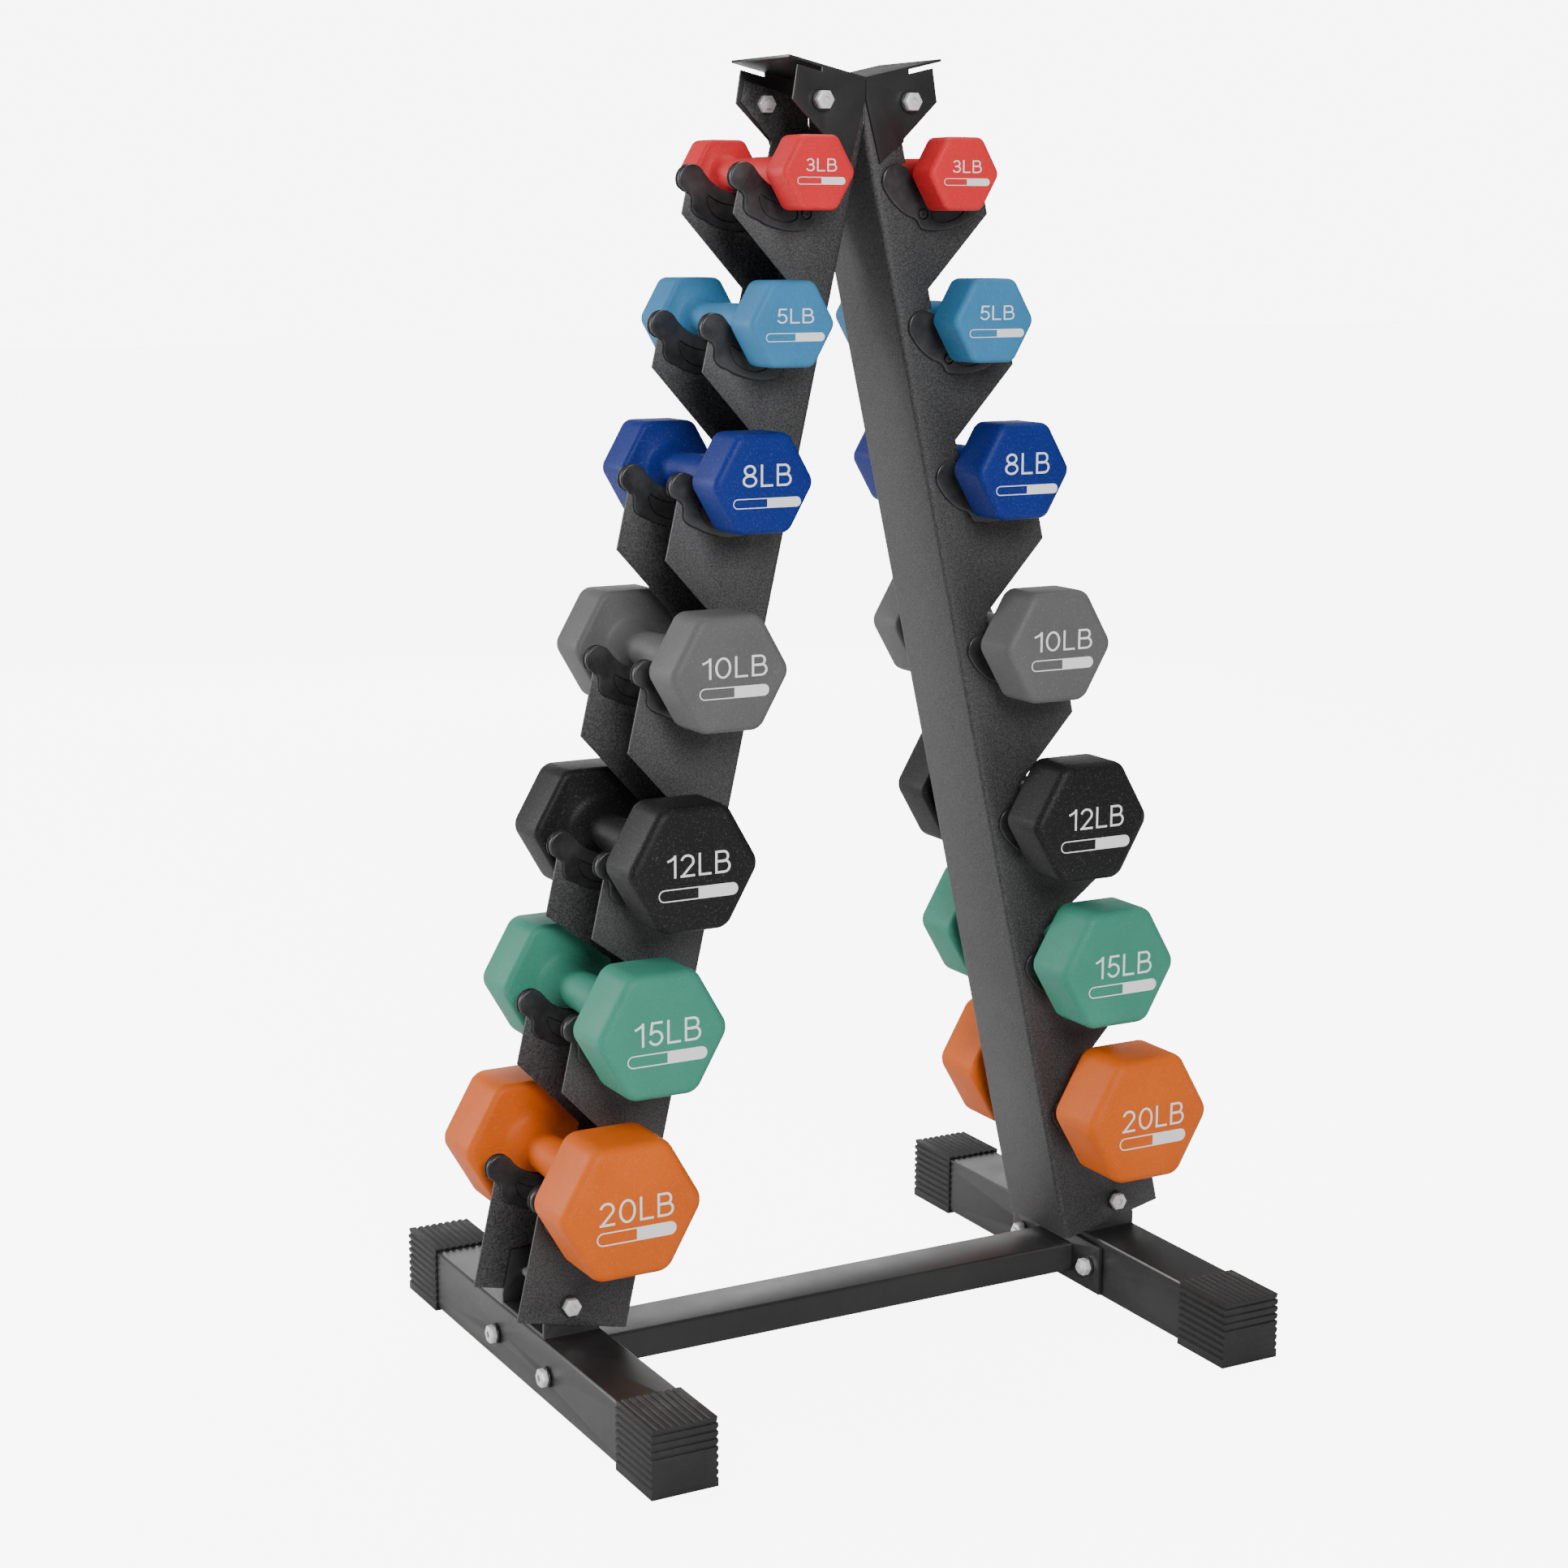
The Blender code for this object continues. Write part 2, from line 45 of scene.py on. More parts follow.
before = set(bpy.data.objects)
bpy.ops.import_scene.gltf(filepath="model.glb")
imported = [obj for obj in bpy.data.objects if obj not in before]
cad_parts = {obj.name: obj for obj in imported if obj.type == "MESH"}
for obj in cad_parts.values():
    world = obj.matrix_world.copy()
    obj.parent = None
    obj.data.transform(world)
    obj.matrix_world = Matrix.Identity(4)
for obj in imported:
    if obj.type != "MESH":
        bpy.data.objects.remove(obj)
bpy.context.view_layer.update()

SIDES = (("left", -1), ("right", 1))
ENDS = (("front", -1), ("rear", 1))
POUNDS = (3, 5, 8, 10, 12, 15, 20)
LEAN = radians(12.75)

# Dumbbell finishes by weight: the record's slot, then the print's sizes as shares of the
# width across flats: cap height, text width, bar width, and how far the text and the bar
# stand from the middle of the end face
VINYL = {
    3: ("vinyl_red", 0.170, 0.475, 0.740, 0.097, -0.112),
    5: ("vinyl_sky_blue", 0.170, 0.490, 0.775, 0.096, -0.147),
    8: ("vinyl_royal_blue", 0.220, 0.550, 0.760, 0.085, -0.186),
    10: ("vinyl_grey", 0.180, 0.630, 0.660, 0.063, -0.150),
    12: ("vinyl_black", 0.180, 0.560, 0.690, 0.045, -0.179),
    15: ("vinyl_mint_green", 0.190, 0.580, 0.685, 0.036, -0.167),
    20: ("vinyl_orange", 0.178, 0.590, 0.630, 0.023, -0.161),
}

# Radius of each handle, and how far a head's inner face stands from the middle
HANDLES = {3: 0.0130, 5: 0.0135, 8: 0.0150, 10: 0.0155, 12: 0.0160, 15: 0.0165, 20: 0.0170}
LIGHT_BELOW = 10
LIGHT_INNER_FACE = 0.0585
INNER_FACE = 0.0625


# ---------------------------------------------------------------- sizes and colours


def colour_property(name, default, description):
    return FloatVectorProperty(
        name=name, description=description, subtype="COLOR", size=3, min=0, max=1, default=default
    )


def length_property(name, default, description):
    return FloatProperty(
        name=name, description=description, default=default, min=0, unit="LENGTH", precision=4
    )


class RackSizes(PropertyGroup):
    """Sizes of the finishing details."""

    sheet_edge: length_property("Sheet edge", 0.0006, "Rounding of cut sheet edges")
    crown_edge: length_property("Crown edge", 0.0008, "Rounding of the crown bracket's edges")
    tube_corner: length_property("Tube corner", 0.0024, "Corner radius of square tubes")
    cradle_edge: length_property("Cradle edge", 0.0013, "Rounding of the cradles' edges")
    rib_pitch: length_property("Rib pitch", 0.0060, "Distance between the ribs of a foot cap")
    rib_depth: length_property("Rib depth", 0.0014, "Depth of the grooves in a foot cap")
    print_height: length_property("Print height", 0.00012, "Height of the print on the heads")


class RackColours(PropertyGroup):
    """Colours of the finishes."""

    steel: colour_property("Steel", (0.046, 0.046, 0.047), "Black powder coat")
    cradle: colour_property("Cradle", (0.020, 0.020, 0.021), "Black plastic of the cradles")
    cap: colour_property("Cap", (0.011, 0.011, 0.011), "Black rubber of the foot caps")
    zinc: colour_property("Zinc", (0.93, 0.93, 0.94), "Bright zinc of the bolts")
    ink: colour_property("Print", (0.95, 0.95, 0.95), "White print on the heads")
    vinyl_red: colour_property("3 lb", (0.700, 0.022, 0.030), "Vinyl of the 3 lb pair")
    vinyl_sky_blue: colour_property("5 lb", (0.042, 0.205, 0.410), "Vinyl of the 5 lb pair")
    vinyl_royal_blue: colour_property("8 lb", (0.003, 0.018, 0.185), "Vinyl of the 8 lb pair")
    vinyl_grey: colour_property("10 lb", (0.112, 0.112, 0.112), "Vinyl of the 10 lb pair")
    vinyl_black: colour_property("12 lb", (0.009, 0.009, 0.009), "Vinyl of the 12 lb pair")
    vinyl_mint_green: colour_property("15 lb", (0.045, 0.260, 0.175), "Vinyl of the 15 lb pair")
    vinyl_orange: colour_property("20 lb", (0.700, 0.120, 0.004), "Vinyl of the 20 lb pair")


def sizes():
    return bpy.context.scene.rack_sizes


def colours():
    return bpy.context.scene.rack_colours


# ---------------------------------------------------------------- shader helpers


class Signal:
    """A shader socket that takes part in Python sums."""

    def __init__(self, tree, socket):
        self.tree = tree
        self.socket = socket

    def sum_with(self, operation, first, second):
        node = self.tree.nodes.new("ShaderNodeMath")
        node.operation = operation
        join(self.tree, first, node.inputs[0])
        join(self.tree, second, node.inputs[1])
        return Signal(self.tree, node.outputs[0])

    def __add__(self, other):
        return self.sum_with("ADD", self, other)

    def __rsub__(self, other):
        return self.sum_with("SUBTRACT", other, self)

    def __mul__(self, other):
        return self.sum_with("MULTIPLY", self, other)


def join(tree, value, socket):
    """Feed a socket with a link or with a plain value."""
    if isinstance(value, Signal):
        tree.links.new(value.socket, socket)
    elif isinstance(value, (tuple, list)) and len(value) == 3 and socket.type == "RGBA":
        socket.default_value = (*value, 1)
    else:
        socket.default_value = value


class Finish:
    """A material being mixed for one of the rack's surfaces."""

    def __init__(self, name):
        self.material = bpy.data.materials.new(name)
        self.material.use_nodes = True
        self.tree = self.material.node_tree
        self.shader = self.tree.nodes["Principled BSDF"]

    def node(self, kind, settings, links, output=0):
        """Add one node; its settings go in first, then what feeds its sockets."""
        node = self.tree.nodes.new(kind)
        for name, value in settings.items():
            setattr(node, name, value)
        for name, value in links.items():
            join(self.tree, value, node.inputs[name])
        return Signal(self.tree, node.outputs[output])

    def place(self):
        return self.node("ShaderNodeTexCoord", {}, {}, "Object")

    def noise(self, scale, detail=2.0, roughness=0.5):
        links = {"Vector": self.place(), "Scale": scale, "Detail": detail, "Roughness": roughness}
        return self.node("ShaderNodeTexNoise", {}, links)

    def cells(self, scale):
        links = {"Vector": self.place(), "Scale": scale}
        return self.node("ShaderNodeTexVoronoi", {}, links)

    def spread(self, signal, low, high, floor=0.0, top=1.0):
        """Map the stretch from low to high onto floor to top, kept inside them."""
        links = {"Value": signal, "From Min": low, "From Max": high, "To Min": floor, "To Max": top}
        return self.node("ShaderNodeMapRange", {"clamp": True}, links)

    def blend(self, share, first, second):
        node = self.tree.nodes.new("ShaderNodeMix")
        node.data_type = "RGBA"
        join(self.tree, share, node.inputs["Factor"])
        join(self.tree, first, node.inputs[6])
        join(self.tree, second, node.inputs[7])
        return Signal(self.tree, node.outputs[2])

    def bump(self, height, distance, strength=1.0):
        links = {"Height": height, "Distance": distance, "Strength": strength}
        return self.node("ShaderNodeBump", {}, links, "Normal")

    def coat(self, **values):
        """Feed the shader's sockets."""
        for name, value in values.items():
            join(self.tree, value, self.shader.inputs[name.replace("_", " ")])
        return self.material


def shade(colour, amount):
    return tuple(min(1.0, c * amount) for c in colour)


def powder_coat():
    """Black powder coat with a fine, even grain and faint clouds."""
    finish = Finish("fine black powder coat")
    steel = tuple(colours().steel)
    coarse = finish.noise(760, 3.0, 0.6)
    fine = finish.noise(1600, 2.0, 0.5)
    cloud = finish.noise(9, 3.0, 0.55)
    grain = coarse * 0.65 + fine * 0.35
    fleck = finish.spread(grain, 0.42, 0.62)
    tone = finish.blend(fleck, shade(steel, 0.42), shade(steel, 1.80))
    tone = finish.blend(finish.spread(cloud, 0.35, 0.7, 0, 0.12), tone, shade(steel, 1.15))
    rough = finish.spread(cloud, 0.3, 0.7, 0.38, 0.46) + fleck * 0.06
    return finish.coat(
        Base_Color=tone,
        Roughness=rough,
        Specular_IOR_Level=0.40,
        Normal=finish.bump(grain, 0.0004, 0.6),
    )


def smooth_coat():
    """The base's and crown's coat: finer, glossier, with faint rolling marks."""
    finish = Finish("smooth black coat")
    steel = shade(tuple(colours().steel), 0.38)
    fine = finish.noise(1800, 2.0, 0.5)
    cloud = finish.noise(14, 4.0, 0.6)
    scuff = finish.noise(85, 5.0, 0.7)
    marks = finish.spread(scuff, 0.62, 0.74)
    tone = finish.blend(finish.spread(cloud, 0.3, 0.7), shade(steel, 0.85), shade(steel, 1.35))
    tone = finish.blend(marks * 0.35, tone, shade(steel, 2.6))
    rough = finish.spread(cloud, 0.3, 0.7, 0.30, 0.42) + marks * 0.12
    return finish.coat(
        Base_Color=tone, Roughness=rough, Normal=finish.bump(fine, 0.0002, 0.35)
    )


def cradle_plastic():
    """Moulded plastic with a soft satin texture and rubbed patches."""
    finish = Finish("moulded black plastic")
    base = tuple(colours().cradle)
    texture = finish.noise(2200, 2.0, 0.5)
    wear = finish.noise(60, 4.0, 0.6)
    tone = finish.blend(finish.spread(wear, 0.4, 0.7), base, shade(base, 1.9))
    rough = finish.spread(wear, 0.35, 0.7, 0.26, 0.40)
    return finish.coat(
        Base_Color=tone, Roughness=rough, Normal=finish.bump(texture, 0.00015, 0.3)
    )


def cap_rubber():
    """Dull rubber with a dusty bloom and a fine pebble."""
    finish = Finish("ribbed black rubber")
    base = tuple(colours().cap)
    pebble = finish.noise(1600, 2.0, 0.6)
    dust = finish.noise(45, 5.0, 0.65)
    tone = finish.blend(finish.spread(dust, 0.45, 0.75, 0, 0.8), base, shade(base, 2.2))
    rough = finish.spread(dust, 0.4, 0.7, 0.58, 0.72)
    return finish.coat(
        Base_Color=tone, Roughness=rough, Normal=finish.bump(pebble, 0.00025, 0.5)
    )


def zinc_plate():
    """Bright zinc with a crystalline haze and small dull spots."""
    finish = Finish("bright zinc plate")
    base = tuple(colours().zinc)
    haze = finish.noise(380, 4.0, 0.6)
    spots = finish.spread(finish.cells(900), 0.10, 0.35)
    tone = finish.blend(finish.spread(haze, 0.4, 0.7), base, shade(base, 0.82))
    rough = finish.spread(haze, 0.35, 0.7, 0.34, 0.46) + (1 - spots) * 0.06
    return finish.coat(
        Base_Color=tone,
        Roughness=rough,
        Metallic=0.35,
        Normal=finish.bump(haze, 0.0001, 0.3),
    )


def vinyl(slot):
    """Matt vinyl dip with an orange-peel grain and tiny pale specks."""
    finish = Finish(f"matt {slot.replace('_', ' ')}")
    base = tuple(getattr(colours(), slot))
    pale = tuple(c + (1 - c) * 0.22 for c in base)
    peel = finish.noise(760, 3.0, 0.6)
    pores = finish.noise(1900, 2.0, 0.5)
    cloud = finish.noise(22, 3.0, 0.5)
    grain = peel * 0.7 + pores * 0.3
    speck = finish.spread(grain, 0.56, 0.70)
    tone = finish.blend(finish.spread(cloud, 0.3, 0.7), shade(base, 0.93), shade(base, 1.06))
    tone = finish.blend(speck * 0.35, tone, pale)
    rough = finish.spread(grain, 0.3, 0.7, 0.56, 0.44)
    return finish.coat(
        Base_Color=tone,
        Roughness=rough,
        Specular_IOR_Level=0.20,
        Normal=finish.bump(grain, 0.0003, 0.5),
    )


def white_print():
    """White ink, thin in places, so that it looks slightly mottled."""
    finish = Finish("mottled white print")
    base = tuple(colours().ink)
    thin = finish.noise(1300, 3.0, 0.65)
    tone = finish.blend(finish.spread(thin, 0.5, 0.72, 0, 0.4), base, shade(base, 0.75))
    rough = finish.spread(thin, 0.4, 0.7, 0.45, 0.6)
    return finish.coat(
        Base_Color=tone, Roughness=rough, Normal=finish.bump(thin, 0.0001, 0.3)
    )


FINISHES = {}


def finish_of(name):
    """Each finish is mixed once and then shared."""
    makers = {
        "powder_coat": powder_coat,
        "smooth_coat": smooth_coat,
        "cradle_plastic": cradle_plastic,
        "cap_rubber": cap_rubber,
        "zinc": zinc_plate,
        "print": white_print,
    }
    if name not in FINISHES:
        FINISHES[name] = makers[name]() if name in makers else vinyl(name)
    return FINISHES[name]


# ---------------------------------------------------------------- modelling helpers


def pick(*pieces):
    """Select only these pieces; the last one is active."""
    for item in bpy.context.selected_objects:
        item.select_set(False)
    for piece in pieces:
        piece.select_set(True)
    bpy.context.view_layer.objects.active = pieces[-1]


def fresh():
    """Nothing is selected before a primitive is added."""
    for item in bpy.context.selected_objects:
        item.select_set(False)


@contextmanager
def shaping(piece, mode="FACE"):
    """Edit mode on one piece, with nothing selected at the start."""
    pick(piece)
    bpy.ops.object.mode_set(mode="EDIT")
    bpy.ops.mesh.select_mode(type=mode)
    bpy.ops.mesh.select_all(action="DESELECT")
    yield
    bpy.ops.object.mode_set(mode="OBJECT")


def choose_faces(piece, test):
    """Select the faces whose middle and normal pass the test."""
    shape = bmesh.from_edit_mesh(piece.data)
    for face in shape.faces:
        if test(face.calc_center_median(), face.normal):
            face.select_set(True)
    shape.select_flush(True)
    bmesh.update_edit_mesh(piece.data)


def choose_edges(piece, test):
    """Select the edges whose two ends pass the test."""
    shape = bmesh.from_edit_mesh(piece.data)
    for edge in shape.edges:
        if test(edge.verts[0].co, edge.verts[1].co):
            edge.select_set(True)
    bmesh.update_edit_mesh(piece.data)


def drop(piece, kind, **settings):
    """Add a modifier and apply it."""
    pick(piece)
    modifier = piece.modifiers.new(kind.lower(), kind)
    for name, value in settings.items():
        setattr(modifier, name, value)
    bpy.ops.object.modifier_apply(modifier=modifier.name)


def soften(piece, width, segments=2, angle=30):
    drop(
        piece,
        "BEVEL",
        width=width,
        segments=segments,
        limit_method="ANGLE",
        angle_limit=radians(angle),
        harden_normals=False,
    )


def cut(piece, cutter, operation="DIFFERENCE"):
    drop(piece, "BOOLEAN", operation=operation, object=cutter, solver="EXACT")
    bpy.data.objects.remove(cutter)


def even_out(piece, angle=32):
    """Merge doubles, turn the faces outwards and shade the round stretches smooth."""
    with shaping(piece):
        bpy.ops.mesh.select_all(action="SELECT")
        bpy.ops.mesh.remove_doubles(threshold=1e-6)
        bpy.ops.mesh.normals_make_consistent(inside=False)
    pick(piece)
    bpy.ops.object.shade_smooth_by_angle(angle=radians(angle))


def settle(piece):
    """Put the piece's place and turn into its mesh."""
    pick(piece)
    bpy.ops.object.transform_apply(location=True, rotation=True, scale=True)


def outline_face(name, points):
    """Walk one corner round an outline in X and Z, then fill it."""
    fresh()
    start = Vector((points[0][0], 0, points[0][1]))
    bpy.ops.mesh.primitive_plane_add(size=0.001, location=(0, 0, 0))
    piece = bpy.context.object
    piece.name = name
    with shaping(piece, "VERT"):
        bpy.ops.mesh.select_all(action="SELECT")
        bpy.ops.mesh.merge(type="CENTER")
        bpy.ops.transform.translate(value=start)
        for here, there in zip(points, points[1:]):
            step = (there[0] - here[0], 0, there[1] - here[1])
            bpy.ops.mesh.extrude_region_move(TRANSFORM_OT_translate={"value": step})
        bpy.ops.mesh.select_all(action="SELECT")
        bpy.ops.mesh.edge_face_add()
    return piece


def thicken(piece, depth):
    """Give a flat face a thickness along Y, centred on where it lies."""
    with shaping(piece):
        bpy.ops.mesh.select_all(action="SELECT")
        bpy.ops.transform.translate(value=(0, -depth / 2, 0))
        bpy.ops.mesh.extrude_region_move(TRANSFORM_OT_translate={"value": (0, depth, 0)})
        bpy.ops.mesh.select_all(action="SELECT")
        bpy.ops.mesh.normals_make_consistent(inside=False)


def slab(name, points, depth):
    piece = outline_face(name, points)
    thicken(piece, depth)
    return piece


def arc(centre, radius, start, end, steps):
    """Points on an arc, angles in degrees."""
    points = []
    for i in range(steps + 1):
        angle = radians(start + (end - start) * i / steps)
        points.append((centre[0] + radius * cos(angle), centre[1] + radius * sin(angle)))
    return points


def bow(first, middle, last, steps):
    """Points on a smooth bow through three points."""
    first, middle, last = Vector(first), Vector(middle), Vector(last)
    pull = 2 * middle - (first + last) / 2
    points = []
    for i in range(steps + 1):
        t = i / steps
        points.append(tuple((1 - t) ** 2 * first + 2 * t * (1 - t) * pull + t**2 * last))
    return points


def copy_of(piece, name, matrix):
    """A copy with its own mesh, its place in the mesh."""
    twin = piece.copy()
    twin.data = piece.data.copy()
    twin.name = name
    bpy.context.collection.objects.link(twin)
    twin.data.transform(matrix)
    return twin


def dress(piece, finish, body, nodes=()):
    """Give a finished piece its coat and its body, and hide the CAD nodes that it stands for."""
    piece.data.materials.clear()
    piece.data.materials.append(finish_of(finish))
    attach(piece, body)
    if nodes:
        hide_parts(*nodes)
    return piece


def trace_of(node, name):
    """A merged copy of a CAD node, with its flat faces whole again."""
    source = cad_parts[node]
    piece = bpy.data.objects.new(name, source.data.copy())
    bpy.context.collection.objects.link(piece)
    with shaping(piece):
        bpy.ops.mesh.select_all(action="SELECT")
        bpy.ops.mesh.remove_doubles(threshold=2e-6)
        bpy.ops.mesh.customdata_custom_splitnormals_clear()
        bpy.ops.mesh.mark_sharp(clear=True)
        bpy.ops.mesh.dissolve_limited(angle_limit=radians(1.0))
    return piece


def middle_of(node):
    low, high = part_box(node)
    return (low + high) / 2


# ---------------------------------------------------------------- pieces


class RACK_OT_uprights(Operator):
    """Model the two toothed channels with eased sheet edges"""

    bl_idname = "rack.uprights"
    bl_label = "Uprights"

    def execute(self, context):
        for side, _ in SIDES:
            node = f"upright_{side}"
            piece = trace_of(node, f"channel_{side}")
            soften(piece, sizes().sheet_edge, 2, 35)
            even_out(piece, 30)
            dress(piece, "powder_coat", "rack", [node])
        return {"FINISHED"}


class RACK_OT_crown(Operator):
    """Model the folded bracket that joins the uprights at the top"""

    bl_idname = "rack.crown"
    bl_label = "Crown bracket"

    def execute(self, context):
        piece = trace_of("crown_bracket", "crown_sheet")
        soften(piece, sizes().crown_edge, 3, 30)
        even_out(piece, 30)
        dress(piece, "smooth_coat", "rack", ["crown_bracket"])
        return {"FINISHED"}


# Telling the long edges of the tubes apart from the short ones
LONG_EDGE = 0.3
TOUCH = 1e-4
CROSS_HALF_WIDTH = 0.025


class RACK_OT_base(Operator):
    """Model the foot tubes with their saddles and the flat cross tube"""

    bl_idname = "rack.base"
    bl_label = "Base tubes"

    def execute(self, context):
        corner = sizes().tube_corner
        for side, _ in SIDES:
            node = f"foot_{side}"
            low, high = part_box(node)
            centre_x = (low.x + high.x) / 2
            half = (high.x - low.x) / 2
            piece = trace_of(node, f"foot_tube_{side}")

            def tube_edge(first, second):
                lengthwise = abs(first.y - second.y) > LONG_EDGE
                outer = abs(abs(first.x - centre_x) - half) < TOUCH
                return lengthwise and outer

            with shaping(piece, "EDGE"):
                choose_edges(piece, tube_edge)
                bpy.ops.mesh.bevel(offset=corner, segments=3, affect="EDGES")
            soften(piece, sizes().sheet_edge, 2, 50)
            even_out(piece, 35)
            dress(piece, "smooth_coat", "rack", [node])

        piece = trace_of("cross_tube", "cross_member")

        def long_edge(first, second):
            lengthwise = abs(first.x - second.x) > LONG_EDGE
            return lengthwise and abs(abs(first.y) - CROSS_HALF_WIDTH) < TOUCH

        with shaping(piece, "EDGE"):
            choose_edges(piece, long_edge)
            bpy.ops.mesh.bevel(offset=corner, segments=3, affect="EDGES")
        soften(piece, sizes().sheet_edge, 2, 50)
        even_out(piece, 35)
        dress(piece, "smooth_coat", "rack", ["cross_tube"])
        return {"FINISHED"}


# Where a rib and its groove start and end within the pitch, then the same walked backwards
RIB = (0.20, 0.62)
GROOVE = (0.74, 0.88)
GROOVE_BACK = (0.12, 0.26)
RIB_BACK = (0.38, 0.80)
CORNER_EASE = 0.4

END_GROOVES = 4
END_GROOVE_START = 0.75
END_GROOVE_HEIGHT = 0.30
CAP_POCKET = 0.0506
CAP_END = 0.004


def rib_outline(size):
    """The cap's section: grooves on both sides and the top, a plain underside."""
    half = size / 2
    pitch = sizes().rib_pitch
    depth = sizes().rib_depth
    count = int(size / pitch)
    points = [(-half, -half), (half, -half)]
    start = -half + (size - count * pitch) / 2
    for i in range(count):
        low = start + i * pitch
        points += [(half, low + share * pitch) for share in RIB]
        points += [(half - depth, low + share * pitch) for share in GROOVE]
    points += [(half - depth * CORNER_EASE, half)]
    for i in range(count):
        high = -start - i * pitch
        points += [(high - share * pitch, half) for share in RIB]
        points += [(high - share * pitch, half - depth) for share in GROOVE]
    points += [(-half + depth * CORNER_EASE, half)]
    for i in range(count):
        high = -start - i * pitch
        points += [(-half + depth, high - share * pitch) for share in GROOVE_BACK]
        points += [(-half, high - share * pitch) for share in RIB_BACK]
    return points


class RACK_OT_caps(Operator):
    """Model the ribbed rubber caps on the ends of the feet"""

    bl_idname = "rack.caps"
    bl_label = "Foot caps"

    def execute(self, context):
        low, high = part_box("foot_cap_right_front")
        size = high.x - low.x
        length = high.y - low.y
        half = size / 2
        master = slab("cap_master", rib_outline(size), length)

        # Horizontal grooves across the upper part of the closed end
        pitch = sizes().rib_pitch
        for i in range(END_GROOVES):
            fresh()
            level = half - (END_GROOVE_START + i) * pitch
            bpy.ops.mesh.primitive_cube_add(size=1, location=(0, -length / 2, level))
            groove = bpy.context.object
            groove.scale = (size + 0.01, 2 * sizes().rib_depth, END_GROOVE_HEIGHT * pitch)
            settle(groove)
            soften(groove, 0.0004, 2)
            cut(master, groove)

        # The pocket that takes the tube
        fresh()
        bpy.ops.mesh.primitive_cube_add(size=1, location=(0, CAP_END, 0))
        pocket = bpy.context.object
        pocket.scale = (CAP_POCKET, length, CAP_POCKET)
        settle(pocket)
        cut(master, pocket)
        soften(master, 0.0005, 2, 40)
        even_out(master, 40)
        for side, _ in SIDES:
            for end, along in ENDS:
                node = f"foot_cap_{side}_{end}"
                turn = 0 if along < 0 else pi
                place = Matrix.Translation(middle_of(node)) @ Matrix.Rotation(turn, 4, "Z")
                piece = copy_of(master, f"cap_{side}_{end}", place)
                dress(piece, "cap_rubber", "rack", [node])
        bpy.data.objects.remove(master)
        return {"FINISHED"}


def cylinder(name, radius, low, high, sides=32):
    """A round or hexagonal bar along Y."""
    fresh()
    bpy.ops.mesh.primitive_cylinder_add(
        vertices=sides,
        radius=radius,
        depth=high - low,
        location=(0, (low + high) / 2, 0),
        rotation=(pi / 2, 0, 0),
    )
    piece = bpy.context.object
    piece.name = name
    settle(piece)
    return piece


def merge(name, pieces):
    """Join pieces into one object."""
    pick(*pieces)
    bpy.ops.object.join()
    piece = bpy.context.object
    piece.name = name
    return piece


# M8 bolts: washer thickness, gap to the steel, and the sizes of head, nut and shank
WASHER = 0.0016
WASHER_RADIUS = 0.0080
BOLT_GAP = 0.0003
HEX_RADIUS = 0.0075
HEAD_HEIGHT = 0.0053
NUT_HEIGHT = 0.0065
DISC_RADIUS = 0.0058
DIMPLE_RADIUS = 0.0027
DIMPLE_DEPTH = 0.0014
SHANK_RADIUS = 0.0039
THREAD_END = 0.0092
BOLT_FRONT = 0.0072
BOLT_BEYOND_GRIP = 0.0192
EAR_GRIP = 0.0045


def hex_bolt(grip):
    """An M8 bolt along Y: head in front of y = 0, nut and thread end behind the grip."""
    seat = -BOLT_GAP - WASHER
    back = grip + BOLT_GAP + WASHER
    face = seat - HEAD_HEIGHT
    head = cylinder("hex", HEX_RADIUS, face, seat, 6)
    nut = cylinder("nut", HEX_RADIUS, back, back + NUT_HEIGHT, 6)
    for part in (head, nut):
        part.data.transform(Matrix.Rotation(pi / 6, 4, "Y"))
        soften(part, 0.0007, 3)
    disc = cylinder("disc", DISC_RADIUS, face - 0.0003, seat - 0.003, 40)
    soften(disc, 0.00025, 2)
    for part in (head, disc):
        cut(part, cylinder("dimple", DIMPLE_RADIUS, face - 0.001, face + DIMPLE_DEPTH, 24))
    shank = cylinder("shank", SHANK_RADIUS, seat, back + THREAD_END, 24)
    soften(shank, 0.0007, 2)
    piece = merge("bolt_master", [head, disc, nut, shank])
    even_out(piece, 30)
    return piece


def washers(grip):
    """Two washers, one under the head and one under the nut."""
    discs = []
    for low in (-BOLT_GAP - WASHER, grip + BOLT_GAP):
        disc = cylinder("washer", WASHER_RADIUS, low, low + WASHER, 40)
        soften(disc, 0.0004, 2)
        discs.append(disc)
    piece = merge("washer_master", discs)
    even_out(piece, 30)
    return piece


